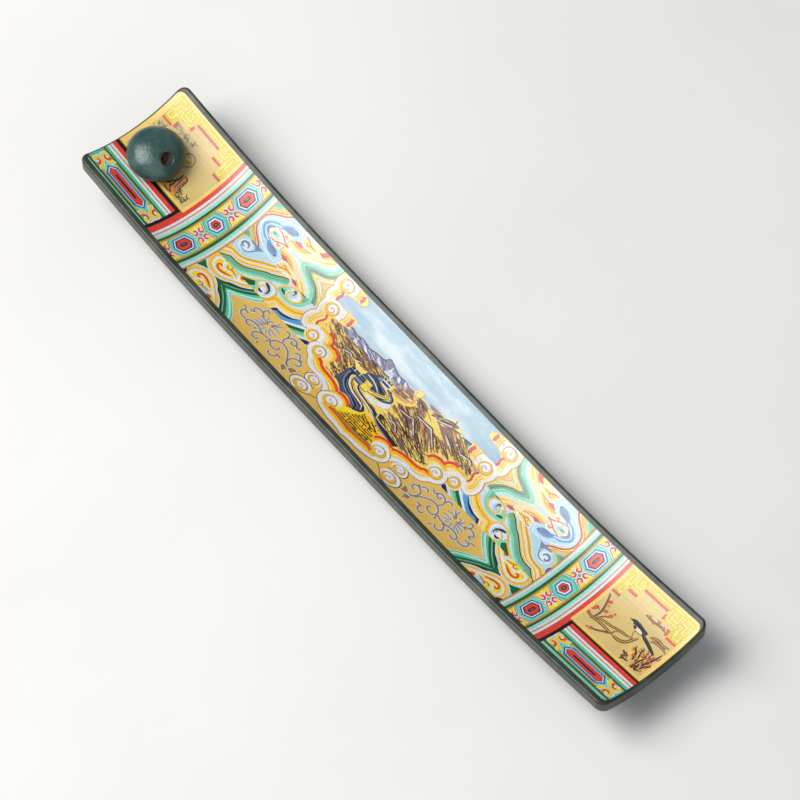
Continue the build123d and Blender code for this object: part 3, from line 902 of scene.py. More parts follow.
def gold_lobes(art):
    """Grey chevron and the gold lobe over it; gives the number of its first item."""
    start = len(art.items)
    art.fill("green_grey", 3, "54.3,12.15! 52,10.9 49,9.9 46.4,9 44.9,7.7 43.9,6.3 43.4,4.6! 41.3,4.6! "
        "42,6.6 43.4,8.4 45.4,9.9 48,11.1 50.7,12.15!")
    art.line("mint", 4, 0.8, "56,12.15 52.8,10.6 49.8,9.6 47,8.5 45.3,7 44.4,5")
    art.line("green_mid", 5, 0.3, "54.3,12.15 52,10.9 49,9.9 46.4,9 44.9,7.7 43.9,6.3 43.4,4.6")
    art.line("green_black", 4, 0.18, "52.2,12.0 50,11 47.2,10.2 45.2,9 43.6,7.2 42.8,5")
    art.line("lavender", 4, 0.5, "62.5,12.0 57.6,11.5 54,9.9 50.5,8.6 47.8,7.4 45.8,5.8 45.2,4.6")
    art.fill("gold", 4, "46.6,4.6! 48.4,6.6 51.4,7.9 54.4,8.9 57,10.6 60,11.3 63.6,11.3! 63.7,9.3! "
        "61,9 59.4,9.4 57,8.8 54.4,7.5 52,6.4 50,4.6!")
    art.line("gold_pale", 5, 0.8, "48,5.2 51.5,7.3 54.6,8.3 57.4,10 60.2,10.8 63.6,10.7")
    art.line("white", 6, 0.22, "50,6.8 54.2,8.7 57.2,10.5 60.2,11.3 63.6,11.3")
    art.line("orange", 5, 0.22, "52,6.6 55.4,8.2 58,9.6 60.6,10 63.5,9.9")
    art.line("amber", 5, 0.4, "54.4,7.6 57.2,9 60,9.75 63.5,9.6")
    art.fill("red_soft", 6, "55.4,8.1 57.2,8.7 59,9.1 60.6,9.6 63.5,9.3! 61.8,8.8 60.6,8.3! 59.6,8.8 "
        "57.6,8.6")
    art.fill("red_soft", 6, "50.2,5.0! 51,6 52.2,6.7 54.2,6.4! 53,5.9 52.4,5.0!")
    art.fill("white", 5, "52.4,6.9 54.4,7.9 57,8.6 59.4,8.9 61,8.2 61.6,6.8 61.8,5.0! 57,5.0! 54.4,6.4")
    art.fill("lemon", 6, "53.2,7 55.4,7.6 57.6,8.2 59.8,8.1 60.6,7.2 60.3,6.4 61.2,5.8! 58.6,5.9 56,6.4")
    art.line("red_soft", 7, 0.36, "55.2,6.9 57,7.05 58.5,6.6 59.4,6.1 61,6.1", (0.3, 0.6))
    art.line("red_soft", 7, 0.34, "57.4,7.0 58.2,7.6 59.2,7.4 59.2,6.8", (0.5, 0.6))
    art.line("gold_pale", 7, 0.3, "57.4,7.9 59,8 60,7.4", (0.4, 0.4))
    return start


def pale_collar(art):
    """The collar, whole, then its lower half's markings; gives the number of their first item."""
    art.fill("ice", 8, "61.4,8.6! 61.2,7 62.2,5.0! 69,5.0! 70.6,6.6 72.4,7.7 74.3,9 75.4,10.5 "
        "75.8,12.15 75.4,13.8 74.3,15.3 72.4,16.6 70.6,17.7 68.8,19 66,19.6 62.8,19.3 61,17.4 "
        "61.4,15.7! 63.8,14.4! 63.9,12.15 63.8,9.9!")
    start = len(art.items)
    art.line("red_soft", 9, 0.5, "68.7,5.0 70.4,6.4 72.2,7.4 74.4,8.8 75.6,10.4 76.0,12.15")
    art.line("orange", 9, 0.24, "70.4,5.2 72.2,6.6 74.6,7.9 76.4,9.6")
    art.line("gold", 9, 0.9, "71.4,5.0 73.2,6.5 75.2,7.6 76.6,8.8")
    art.line("cloud", 9, 0.5, "61.7,8.8 62,7 63,5.8 66,6.2 69.4,7.2 72.4,8.7 74.4,10.6 74.9,12.15",
        (0.4, 1))
    art.fill("blue_soft", 9, "63,7.2! 64.4,6.9 66.4,7 68,7.8 69.2,8.9 71,9.2 72.8,10.2 74,11.4 "
        "74.3,12.15! 72.6,12.15! 72,11 70.6,10.3 68.8,10 67.6,9.3 65.6,9.2 63.9,8.6")
    art.fill("blue_grey", 10, "63.3,7.8 64.4,7.5 66.2,7.6 67.6,8.2 68.2,8.9 67,9.2 65.2,9.1 64,8.6")
    art.line("far_peak", 11, 0.3, "64.6,8.3 66,8.5 67.4,8.8", (0.4, 0.4))
    art.line("blue", 10, 0.5, "63.2,7.9 63.5,7.4 64.2,7.2", (0.5, 0.5))
    art.line("cloud", 10, 0.36, "68.8,9.4 70.6,9.9 72.3,10.9 73.1,12.15")
    art.fill("blue_grey", 9, "70,10.6 71.4,10.8 72.4,11.6 72.6,12.15! 71.4,12.15! 70.8,11.4")
    art.fill("white", 10, "62.6,12.15! 64.2,11.4 64.0,10 65.2,9.3 67.2,9.7 69.4,10.2 70.8,11.2 71.6,12.15!")
    art.line("gold_pale", 11, 0.55, "63,12.1 65,11.3 67,10.6 69,10.6 70.6,11.6", (0.4, 0.5))
    art.line("lemon", 11, 0.7, "64.3,10.6 65.2,9.9 66.4,10.2", (0.5, 0.5))
    art.line("red_soft", 12, 0.36, "62.7,12.15 64.6,11.8 66,11.1 67.6,10.5 69.4,10.3", (0.4, 0.4))
    art.line("red_soft", 12, 0.34, "65,10.9 65.1,10.3 65.9,10.4 66.1,11.2")
    art.line("gold", 12, 0.2, "66.2,12.15 67.4,11.4 69,11.1 70.2,11.6 70.6,12.15")
    return start


def collar_corners(art):
    """Green corners by the cross bands, and the gold behind the frame."""
    art.fill("mint", 9, "72.2,19.4! 76.5,19.4! 76.5,16.4! 74.6,17.6")
    art.fill("green_mid", 10, "73,19.4! 76.5,19.4! 76.5,17! 75,18")
    art.fill("mint", 9, "72.4,5.5! 76.5,5.5! 76.5,8! 74.6,6.9")
    art.fill("green_grey", 10, "73.8,5.5! 76.5,5.5! 76.5,7! 75,6.4")
    art.fill("panel", 3, "42,16 44.6,14.2 47.6,12.9 50.2,12.15! 47.6,11.3 45,10 42.4,8.4 41,8! 41,16!")
    art.line("lemon", 4, 0.5, "41.6,17 43.4,15.4 45.2,14.2 47.6,13 50.2,12.15 47.6,11.2 45.2,10 "
        "43.2,8.4 41.4,6.4")
    art.line("white", 5, 0.34, "42.8,15.2 45,13.5 47.5,12.15 45,10.8 43,9.2")
    art.line("orange", 4, 0.2, "43.4,14 45.6,12.15 43.4,10.4")


# ---- scalloped frame round the landscape: lobes, tongues and curls -----------------------
CURL_RIM = 0.26
CURL_START, CURL_STOP, CURL_TURNS = 0.76, 0.14, -1.15  # radii are shares of the curl's own
CURL_EDGE, CURL_BAND = 0.28, 0.205  # half widths, also shares
CURLS = (  # x, y, half length, half height, angle of the spiral's start, level
    (11.7, -12.7, 2.5, 1.75, 180, 8), (20.8, -11.9, 2.0, 1.35, 180, 10),
    (21.3, -16.6, 2.3, 1.7, 200, 10), (28.1, -3.6, 2.3, 1.9, 200, 8),
    (34.2, -1.4, 1.9, 1.7, 200, 8), (37.0, 8.9, 2.3, 1.9, 200, 8), (39.2, 17.0, 2.6, 1.75, 200, 8),
)


def curl(art, cx, cy, rx, ry, a0, level):
    """Gold round holding a broad white spiral with a dark gold edge."""
    art.disc("gold_line", level, cx, cy, rx + CURL_RIM, ry + CURL_RIM, 28)
    art.disc("honey", level + 1, cx, cy, rx, ry, 28)
    path = spiral(cx, cy, rx * CURL_START, rx * CURL_STOP, a0, CURL_TURNS, ry / rx)
    for color, up, half in (("gold_line", 2, CURL_EDGE), ("white", 3, CURL_BAND)):
        art.ribbon(color, level + up, path, -half * rx, half * rx, (1, 0.7))


FRAME_RUNS = (  # colour, level, width, path
    ("white", 5, 1.15,
     "-1.2,-17.7 0,-18.1! 1.2,-17.7 4,-17.4 7.5,-17.3 9.5,-16.9 12,-16.3 14,-15.3 15.4,-14 "
     "15.6,-12.6 14.8,-11.3 13.2,-10.4 11.4,-10.2 9.8,-10.7 8.8,-11.7 8.4,-12.8"),
    ("brown", 6, 0.3,
     "-1.2,-18.3 0,-18.8! 1.4,-18.3 4,-18.05 7.5,-17.95 9.7,-17.5 12.3,-16.9 14.5,-15.8 15.9,-14.3 "
     "16.2,-12.6 15.4,-11.2 14.2,-10.1"),
    ("red", 6, 0.95, "-1,-15.25 0,-15.3 1.6,-15 4,-14.75 6.4,-14.5 8.8,-14.35 10,-14.7"),
    ("amber", 5, 1.3, "-1,-16.2 0,-16.2 2,-15.9 5,-15.6 8,-15.3 10.6,-15.3 12.4,-15"),
    ("red", 7, 1.0, "6.7,-10.3 7.5,-9.1 9.2,-8.3 11.2,-8.1 12.9,-8.6"),
    ("amber", 6, 1.1, "7.3,-11.1 8.1,-9.7 9.6,-9 11.4,-8.8 13.4,-9.4 14.6,-10.2"),
    ("red", 7, 0.95, "13.2,-8.8 14.4,-8 16.5,-7.3 19,-6.9 22,-6.7 24,-6.2 25,-5.4 26.6,-5.2"),
    ("amber", 6, 1.15, "13.7,-9.6 15.3,-8.6 17.5,-8 20,-7.6 22.5,-7.4 24.7,-6.8 26,-6 27.6,-5.9"),
    ("gold_line", 5, 0.2, "15,-10.6 16.6,-9.5 18.6,-9 20.6,-8.7 23,-8.6 25.3,-8 27,-7"),
    ("white", 6, 1.15,
     "16.1,-12.2 17,-10.7 18.5,-9.7 20.5,-9.2 23,-9.35 25,-9.3 26.8,-8.7 28,-7.6 29,-6.6 30.6,-5.7 "
     "31.6,-4.4 31.6,-3 30.6,-1.9 29,-1.3 27.3,-1.5 25.9,-2.3 25.1,-3.5"),
    ("gold_line", 7, 0.28,
     "16.2,-13.2 17.2,-11.5 18.7,-10.5 20.6,-9.95 23,-10.05 25.2,-10 27.2,-9.4 28.5,-8.3 29.5,-7.2 "
     "31.3,-6.2 32.4,-4.6 32.4,-2.9 31.6,-1.6"),
    ("red_soft", 7, 1.0, "22.1,-1.8 22.6,-.5 23.8,.3 25.4,.7 26.8,.5"),
    ("amber", 6, 1.1, "22.9,-2.4 23.6,-1.1 24.8,-.4 26.3,-.1 28,-.4 29.6,-.8"),
    ("red_soft", 7, 1.0, "27.3,.2 27.5,1.4 28.3,2.4 29.6,3.1 31.2,3.2"),
    ("amber", 6, 0.95, "28.1,-.2 28.6,1 29.6,2 31,2.5 33,2.6 34.6,2.3"),
    ("white", 6, 1.15, "30.9,-2 30.9,-.6 31.8,.7 33.3,1.5 35,1.5 36.6,.7"),
    ("white", 6, 1.0,
     "33.6,7.8 33.2,9.4 34.4,11 36.6,11.5 38.9,11.2 40.5,9.9 41.1,8.2 40.5,6.6 40.0,5.4 40.8,4 "
     "41.2,2.4 40.9,.7 39.8,-.6 38.5,-.8 37.2,-.1 36.7,.8"),
    ("gold_line", 7, 0.28,
     "41.9,10.4 41.7,8 41,6.3 40.6,5.4! 41.5,4.2 41.9,2.4 41.5,.3 40.2,-1.1 38.6,-1.4 37.3,-1"),
    ("red_soft", 7, 0.72, "36.8,6.6 36.0,5.6 36.2,4.5 36.8,3.2 36.5,1.9"),
    ("amber", 6, 0.5, "38,6.4 37.7,4.9 38.4,3.4 38.6,1.9 38,.7"),
    ("gold_line", 6, 0.18, "39,6.4 38.7,5 39.3,3.6 39.4,1.8 38.7,.6"),
    ("white", 6, 1.0,
     "35.5,16.2 35.5,17.8 36.8,18.9 39,19.2 41.2,18.8 42.7,17.6 42.7,16 42.2,14.6 42.0,13.4 42.3,12 "
     "41.6,10.8 40.6,10.4"),
    ("gold_line", 7, 0.28,
     "42.3,10.2 43.1,11.7 43.2,13.2 42.8,14.2! 43.5,15.5 43.8,17.4 43.2,19.4"),
    ("rose", 7, 0.95, "38.3,11.8 38.7,12.9 38.2,13.9 39,15.2 39.9,15.8"),
    ("amber", 6, 0.45, "39.5,12.4 39.9,13.4 39.5,14.4 40,15.4"),
    ("gold_line", 6, 0.18, "40.3,12.4 40.7,13.4 40.3,14.6 40.9,16"),
)


FRAME_SHAPE = (
    "0,-15! 4,-14.6 8.6,-14.1! 8.2,-12.6 6.6,-10.8! 7.2,-9.2 9.2,-8 11.4,-7.8 13.2,-8.5! 16.5,-7 "
    "20,-6.6 23.4,-6.3 25,-5.1! 24,-3.2 21.8,-1.7! 22.4,-.2 24,.7 26.8,.9! 27.2,2 28.6,3 31.2,3.5! "
    "34.6,2.6! 36,1.6! 36.6,3.2 35.7,5.4 36.2,6.8! 34.2,7.2 30,8.1 27.9,8.4! 28.4,10 27.9,11.8! "
    "31,11.9 34.4,11.6 37.9,11.8! 38.3,13 37.4,15! 34,15.9 30.6,16.4 29.7,17.4 31,18.6 34.2,19.2 "
    "37,19.5! 43.6,19.5! 43.7,16.6 42.9,14.2! 43.2,12.6 42.4,10.2! 41.6,7.4 40.7,5.4! 41.9,3 41.5,.4 "
    "40,-1.3 37.4,-1.2! 36.6,-2.9 34.6,-3.9 32.8,-3.8! 31.9,-5.6 29.4,-7.2 28,-9 25.6,-10 24,-10.1! "
    "24.2,-12 22.8,-13.4! 25,-14.4 25.8,-16.4 24.8,-18.4 22,-19.3 19.4,-18.4 17.4,-17 15,-15.9! "
    "12.3,-16.9 9.7,-17.6 5,-18 0,-18.4!"
)


TONGUES = (  # x from, x to, y from, y to, colour
    (28.6, 29.9, 8.5, 11.7, "rose"), (30.2, 31.4, 8.4, 11.7, "honey"),
    (31.8, 32.1, 8.2, 11.7, "gold_line"), (32.4, 33.9, 8.0, 11.7, "white"),
    (31.3, 32.6, 16.2, 18.8, "rose"), (32.9, 34.0, 16.1, 18.9, "honey"),
    (34.3, 34.6, 16.0, 19.0, "gold_line"), (34.9, 36.4, 15.8, 19.2, "white"),
)
TONGUE_EDGES = (
    "27.9,8.4! 30,8.1 34.2,7.2 36,6.9", "27.9,11.8! 31,11.9 34.4,11.7 37.9,11.8",
    "37.4,15.2 34,15.9 30.6,16.3 29.7,17.4 31,18.6 34.2,19.2 37,19.4",
)


def tongues(art):
    """Bent bars of colour across the two lobes that reach in at the frame's sides."""
    for x, y, ry in ((28.8, 10, 1.7), (30.8, 17.45, 1.2)):
        art.disc("lemon", 5, x, y, 0.7, ry, 12)
    for x0, x1, y0, y1, color in TONGUES:
        inner_edge = curve([(x0 + 0.4, y0), (x0, (y0 + y1) / 2), (x0 + 0.5, y1)])
        art.ribbon(color, 6, inner_edge, x0 - x1, 0)
    for txt in TONGUE_EDGES:
        art.line("amber", 7, 0.22, txt)


def frame_curls():
    """Right half of the frame."""
    art = Art("frame_right", (0, 43.9, -PRINT_Y, PRINT_Y))
    art.fill("gold_pale", 4, FRAME_SHAPE)
    tongues(art)
    art.fill("gold", 5, "16.3,-12.8 17.4,-11 19.4,-10 22,-10 24,-11.4 24,-13 22.6,-13.9 25,-15 "
        "25.6,-17 24,-18.8 21.6,-19.2 19,-18.4 17.4,-17 14.9,-15.9 16,-14.4")
    art.line("amber", 6, 0.7, "17,-12.6 17.4,-14 16.6,-15.2")
    for name, level, width, txt in FRAME_RUNS:
        art.line(name, level, width, txt)
    art.line("white", 8, 0.85, "18.2,-13 17.9,-12 18.6,-11 20.2,-10.4 22,-10.6 23.4,-11.5 23.4,-12.7 "
        "22.2,-13.4 20.6,-13.5", (0.5, 0.5))
    art.line("brown", 9, 0.26, "23,-10.2 24.1,-11.4 24.1,-12.7 22.8,-13.8 20.8,-14")
    art.line("white", 8, 0.95, "18.4,-18 17.8,-16.6 18.6,-15.2 20.6,-14.4 23,-14.6 24.8,-15.8 25,-17.2 "
        "23.8,-18.5 21.6,-18.8", (0.5, 0.5))
    art.line("brown", 9, 0.28, "14.9,-16 17.4,-17.2 19.2,-18.6 21.8,-19.3 24.4,-18.5 25.8,-16.9 "
        "25.3,-15.1 23.4,-14 20.4,-13.9 18,-14.3")
    for cx, cy, rx, ry, a0, level in CURLS:
        curl(art, cx, cy, rx, ry, a0, level)
    return art


# ---- landscape inside the frame: sky, far peaks, ridges, winding wall ---------------------
RIDGES = (  # colour, level, outline
    ("straw", 3,
     "-35.2,7.2 -33,7.8 -30.4,7.9 -28,7 -24,6.6 -20,6.9 -16,7 -12,6.5 -8,6.2 -6,6.8 -3,7.6 -1,8.6 "
     "0.4,9.5 2.4,9.8 3,11! 5.5,11.2! 5.5,9.9! 7.8,9.9 9.6,9.3 11.6,9.8 14,10.5 17,11.1 18.3,12.3 "
     "19,13 19.8,12.5 19.8,11.7! 21.2,11.9 23,11.2 25,10 28,9.2 31,8.2 34.5,6.6 37,5! 37,-1! 28,-5! "
     "24,-7! 14,-9! 8,-15! -8,-15! -14,-9! -25,-7! -37,0! -37,6!"),
    ("rock", 4, "-35,7 -33,7.7 -30.5,7.7 -29.4,6.8 -31.4,5.9 -34,5.9"),
    ("rock", 4, "-33.6,4.9 -31,4.4 -29.4,3.4 -32,3.9"),
    ("rock", 4, "-24,6.6 -20,6.7 -15,6.4 -12.6,6.1 -15,5.2 -19,5 -22.6,5.2"),
    ("rock", 4, "-26,1.9 -22.6,3.2 -20,2.8 -17.6,2.2 -21,1.6 -24,1.6"),
    ("rock", 4, "-6,6.8 -3,7.7 -1,8.8 0.4,9.5 2.3,9.7 3.6,8.2 2.6,6.6 0,6.2 -3.5,6.2"),
    ("rock", 4, "4.7,9.4 7.7,9.7 9.6,9 10.4,8.2 9.4,6.8 7.4,5.6 5,3.6 3.4,3 5.7,5.2 6.2,7.2"),
    ("rock", 4,
     "14.2,8.4 16.4,9.4 18.6,10.4 20.4,10 22,9.2 24,7.6 26,5.6 24.4,4.8 22,5.2 19,6.4 16.6,7.6"),
    ("rock", 4, "9.4,4.7! 15.4,5! 18,3 20.2,1! 16.6,.5 13,2"),
    ("rock", 4, "4.2,2.2! 9,3.1! 11,1.6 13.4,-.2! 9.6,.3 6,.6"),
    ("rock_dark", 5, "1,-3.2! 4.6,-2.4! 6.4,-4.4! 4,-5.2 1.6,-4.8"),
    ("umber", 4, "-23,-2.4 -20.6,-2.6 -19.4,-3.4 -21,-3.6 -19,-5.2 -21.4,-4.3"),
)
STROKES = (  # region corners, count, slope in degrees, length, colours
    ((-35, -28, 2.6, 7.6), 60, -22, 3.6, ("rock", "rock", "straw", "orange", "plum")),
    ((-28, -12, 3.4, 6.8), 150, -10, 4.0,
     ("rock", "rock", "straw", "orange", "rock_dark", "ochre")),
    ((-28, -18, -1.6, 3.6), 100, -28, 3.6, ("rock", "rock", "ochre", "orange", "plum", "straw")),
    ((-24, -18.2, -6, -1.2), 60, -12, 2.2, ("umber", "rock", "orange", "ochre", "rock_dark")),
    ((-13, -4, 2.2, 6.4), 60, 8, 3.0, ("ochre", "rock", "straw", "orange", "green_mid")),
    ((-3, 6, 4.6, 7.6), 40, 6, 3.6, ("orange", "rock", "straw", "peach")),
    ((10, 19, 8.2, 10.6), 60, 12, 3.2, ("straw", "rock", "rock", "orange", "rock_dark")),
    ((19, 34, 5, 10.5), 130, -26, 5.4, ("straw", "straw", "orange", "rock", "rock", "peach")),
    ((8, 22, -2, 5), 170, -32, 5.2, ("straw", "straw", "orange", "rock", "rock", "rock_dark")),
    ((20, 34, 2.2, 6), 50, -12, 3.0, ("olive", "straw", "ochre", "rock")),
    ((1, 22, -6, -1), 230, -14, 5.4,
     ("straw", "straw", "straw", "orange", "rock_dark", "rock", "rock")),
    ((1, 9, -1, 4), 70, -18, 3.4, ("orange", "rock", "rock", "straw", "umber")),
    ((3.6, 10, 4, 9.4), 90, -24, 2.8, ("orange", "rock_dark", "peach", "straw", "rock")),
)


LANDSCAPE_X = 43  # no rock is drawn beyond this
COARSE = 0.8  # step along a rock stroke, which is nearly straight
WALL_TOPS = (
    "9.2,4.9 12,5 15.5,5.3! 18,3.3 20.6,1.3", "4,2.4 7,2.7 9.2,3.3! 11.4,1.4 13.4,-0.2",
    "4.4,-2.6 6.8,-2.2 9,-3.9", "14,8.5 16.6,9.2 19.5,10.4", "20,7.2 22.4,6.3 24.6,5.4",
    "28,6.3 31.4,7 33,6.4", "-24,2.6 -21.6,3.4 -19.4,2.9 -16.5,3.9",
)
DARK_CRACKS = (
    "28,6.9 31.5,7.1 33.6,6.2", "22,-1.6 20,-2 17,-1.6", "21,-5.3 23.4,-4 24.2,-3.6",
    "24,10.1 26,10.7 28,10.9", "19.2,12.8 19.6,11.2 19,10.6",
)


def clear_of_frame(points):
    """True where none of the points lies under the scalloped frame."""
    edge = curve(FRAME_SHAPE, True, 1.0)
    for x, y in points:
        x, hits = abs(x), 0
        for (x0, y0), (x1, y1) in zip(edge, edge[1:] + edge[:1]):
            if (y0 > y) != (y1 > y) and x < x0 + (x1 - x0) * (y - y0) / (y1 - y0):
                hits += 1
        if hits % 2 or x > LANDSCAPE_X:
            return False
    return True


def rock_wedge(art, region, slope, size, rnd):
    """Broad wedge of rock with a dark crest."""
    x0, x1, y0, y1 = region
    x, y = rnd.uniform(x0, x1), rnd.uniform(y0, y1)
    d, w = size * rnd.uniform(0.9, 1.7), rnd.uniform(0.5, 1.2)
    a = math.radians(slope + rnd.uniform(-4, 4))
    shape = ((0, 0), (0.5, 0.15), (1, 0))
    p = [(x + d * t * math.cos(a), y + d * t * math.sin(a) + b) for t, b in shape]
    if clear_of_frame(p):
        color = rnd.choice(("rock", "rock", "rock", "straw"))
        art.line(color, 5, w, p, (0.15, 0.1), COARSE)
        art.line("rock_dark", 7, 0.17, [(u, v + w * 0.42) for u, v in p], (0.3, 0.3), COARSE)


def rock_stroke(art, region, slope, size, names, rnd):
    """One thin streak of rock or light."""
    x0, x1, y0, y1 = region
    x, y = rnd.uniform(x0, x1), rnd.uniform(y0, y1)
    a = math.radians(slope + rnd.uniform(-5, 5))
    d = size * rnd.uniform(0.35, 1)
    bend = (x + d * 0.5 * math.cos(a), y + d * 0.5 * math.sin(a) + 0.12)
    p = [(x, y), bend, (x + d * math.cos(a), y + d * math.sin(a))]
    if clear_of_frame(p):
        color, level = rnd.choice(names), rnd.choice((6, 7))
        art.line(color, level, rnd.uniform(0.14, 0.42), p, (0.3, 0.2), COARSE)


def paving(art, rnd):
    """Courses of dashes, the lower ones longer."""
    for course in range(9):
        y = -7.4 - course * 0.78
        x = -1.9 - max(0, course - 1) * 0.75
        while x < 7.4:
            d = rnd.uniform(1.4, 3.8)
            drop = -0.35 * d if y > -8.3 else rnd.uniform(-0.1, 0.1)
            if rnd.random() < 0.9 and x + d < 8.2:
                color = rnd.choice(("umber", "black", "black", "black"))
                art.line(color, 8, rnd.uniform(0.42, 0.64), [(x, y), (x + d, y + drop)], (0.7, 0.6))
            x += d + rnd.uniform(0.15, 0.3)
    for _ in range(34):
        # upright joints
        x, y = rnd.uniform(-5, 7), rnd.uniform(-13.4, -6.8)
        color = rnd.choice(("black", "umber", "lemon"))
        art.line(color, 8, 0.34, [(x, y), (x + rnd.uniform(-0.3, 0.3), y - rnd.uniform(0.3, 0.8))])


def masonry(art, rnd):
    """Yellow walling in the foreground."""
    art.fill("amber", 6, "-8.6,-12.6 -5,-10.6 -2.6,-7.6 -1,-5.9 3,-6.6 7,-7.9 8,-9.6 7.6,-11.6 "
        "8.4,-13.9 0,-14.8 -8.4,-13.8")
    art.fill("yellow", 9, "-8.8,-13! -7.9,-11 -6.6,-9.6 -4.4,-9 -2.9,-7.8 -2.4,-6.3! -1.9,-7.2 -3,-9 "
        "-5,-11 -7.9,-13.4!")
    paving(art, rnd)
    art.fill("olive", 9, "-9,-13.5! 0,-13.9 9,-13.5! 9,-14 0,-14.8 -9,-14")


def mountains():
    art = Art("mountains", (-38.5, 38.5, -15.4, 13.2))
    rnd = random.Random(31)
    for name, level, txt in RIDGES:
        if level == 3:
            art.fill(name, level, txt, 0.6)
        else:
            art.poly(name, level, txt)
    for region, n, slope, size, names in STROKES:
        for _ in range(n // 4):
            rock_wedge(art, region, slope, size, rnd)
        for _ in range(n // 2):
            rock_stroke(art, region, slope, size, names, rnd)
    for txt in WALL_TOPS:
        path = curve(txt)
        art.ribbon("rock_dark", 8, path, 0.15, 0.55)
        art.ribbon("lavender", 9, path, -0.12, 0.15)
    for txt in DARK_CRACKS:
        art.line("ink", 8, 0.3, txt, (0.4, 0.4))
    masonry(art, rnd)
    return art


FAR_SHAPES = (  # colour, level, outline
    ("far_peak", 3,
     "-30.2,8 -27.6,9.6 -25,9.1 -22,9.4 -19,8.8 -16,9.3 -12.4,9.8 -11.2,11.3 -9.8,11.1 -8,10.4 "
     "-5,9.7 -2,9.9 0,9.4 1,7! -30,6.6!"),
    ("cloud", 4, "-24,8.6 -23,7.4 -21.8,6.8 -24.2,6.8"),
    ("cloud", 4, "-8.4,10.3 -7.6,9 -5.8,7.4 -6.4,6.6 -9.6,7.4 -8.6,8.6"),
    ("cloud", 4, "-2,9.8 -1,9.2 -0.4,8.2 -1.6,8.4"),
    ("cloud", 4, "-20.6,8.7 -18.6,7.8 -17.4,7.2 -19.6,7.4"),
    ("cloud", 4, "-14.6,9.3 -12.6,8.4 -11.6,7.4 -13.8,7.8"),
    ("cloud", 4, "-4.8,9.6 -3.6,8.9 -3.2,7.8 -4.6,8.4"),
    ("far_peak", 3, "8.8,10.2 10.6,10.7 12.6,10.4 11,9.6"),
    ("far_peak", 3, "24.4,10.4 26.2,10.9 28.2,11.2 28.4,10.2 26,10"),
)
FAR_CREST = (
    "-30,8.2 -27.6,9.6 -25,9.1 -22,9.4 -19,8.8 -16,9.4 -12.4,9.8 -11.2,11.2 -9.8,11 -8,10.4 -5,9.7 -2,9.9"
)
PEAK_COLORS = ("rock", "slate", "lavender", "plum", "white", "white", "cloud")
SUMMIT_COLORS = ("rock", "slate", "lavender", "white", "far_peak")


def sky_drifts(art, rnd):
    """Thin level streaks of haze."""
    for _ in range(7):
        x, y = rnd.uniform(-34, 28), rnd.uniform(12.6, 17.5)
        d = rnd.uniform(1.5, 6)
        rise, dip = rnd.uniform(-0.1, 0.3), rnd.uniform(-0.2, 0.2)
        path = [(x, y), (x + d * 0.3, y + rise), (x + d * 0.7, y + dip), (x + d, y)]
        art.line("haze", 2, rnd.uniform(0.2, 0.6), path, (0, 0), 1.2)


def peak_strokes(art, rnd):
    """Falling strokes over the far peaks, then over the highest of them."""
    for _ in range(190):
        x, y = rnd.uniform(-29, -0.5), rnd.uniform(6.8, 9.5)
        p = [(x, y), (x + rnd.uniform(0.8, 2.6), y - rnd.uniform(0.1, 1.0))]
        color = rnd.choice(PEAK_COLORS)
        art.line(color, 5, rnd.uniform(0.2, 0.62), p, (0.2, 0.2), COARSE)
    for _ in range(64):
        x = rnd.uniform(-12, -2)
        y = 10.6 - abs(x + 10.6) * 0.28 - rnd.uniform(0.2, 2.6)
        p = [(x, y), (x + rnd.uniform(0.4, 1.4), y - rnd.uniform(0.4, 1.2))]
        color = rnd.choice(SUMMIT_COLORS)
        art.line(color, 6, rnd.uniform(0.2, 0.45), p, (0.2, 0.2), COARSE)


def sky():
    """The sky and the far peaks in front of it."""
    art = Art("sky", (-38.5, 38.5, 5, PRINT_Y))
    rnd = random.Random(17)
    art.rect("sky", 1, -44, 44, 5, PRINT_Y)
    sky_drifts(art, rnd)
    for name, level, txt in FAR_SHAPES:
        art.fill(name, level, txt, 0.6)
    peak_strokes(art, rnd)
    art.line("navy", 7, 0.24, FAR_CREST, (0.5, 0.5))
    return art


# ---- winding wall and its towers --------------------------------------------------------
FAR_LINES = (  # width, colour, path
    (0.7, "peach", "-2.4,4.7 0.5,4.9 3,5.5 4.8,6.5 5,7.4 4,8.2 3.3,9 3.4,10.2"),
    (0.16, "umber", "-2,5.1 1,5.4 3.8,6.3 4.9,7.1 4.3,7.9"),
    (0.3, "lemon", "5.2,9.6 4,9 4.3,8.3 5.7,7.6 5.8,6.4 4.6,5 2.4,4.2 0,3.9"),
    (0.16, "brown", "-1.6,4.4 1.4,4.7 3.8,5.4"),
)
FLANK_LINES = (  # width, colour, path
    (0.42, "ink", "-12,3.5 -9.6,3.7 -6.8,3 -4.4,2"), (0.55, "ink", "-7.4,2.6 -5.2,1.9 -3.6,1.9"),
    (0.4, "lavender", "-12,2.8 -9.4,2.6 -7,1.9 -5,.9"),
    (0.3, "far_peak", "-7.4,3.6 -5,2.9 -3.2,2.2"), (0.3, "ink", "-8,.9 -6.6,.7 -5.6,.4"),
)
BEND_LINES = (  # width, colour, path
    (0.2, "umber", "-4,3 -2.4,2.4 -2,1.8 -3.2,.9 -5.4,.2 -7.6,-.4"),
    (0.18, "brown", "-2.6,2.9 -1.2,2.1 -1.4,1.3 -3.2,.3 -6,-.7"),
    (0.22, "ink", "-1.6,1.2 -3.4,-.1 -5.6,-.9 -7.8,-1.4"),
    (0.18, "amber", "-2.2,2.6 -1.6,1.9 -2.4,1.1"),
)
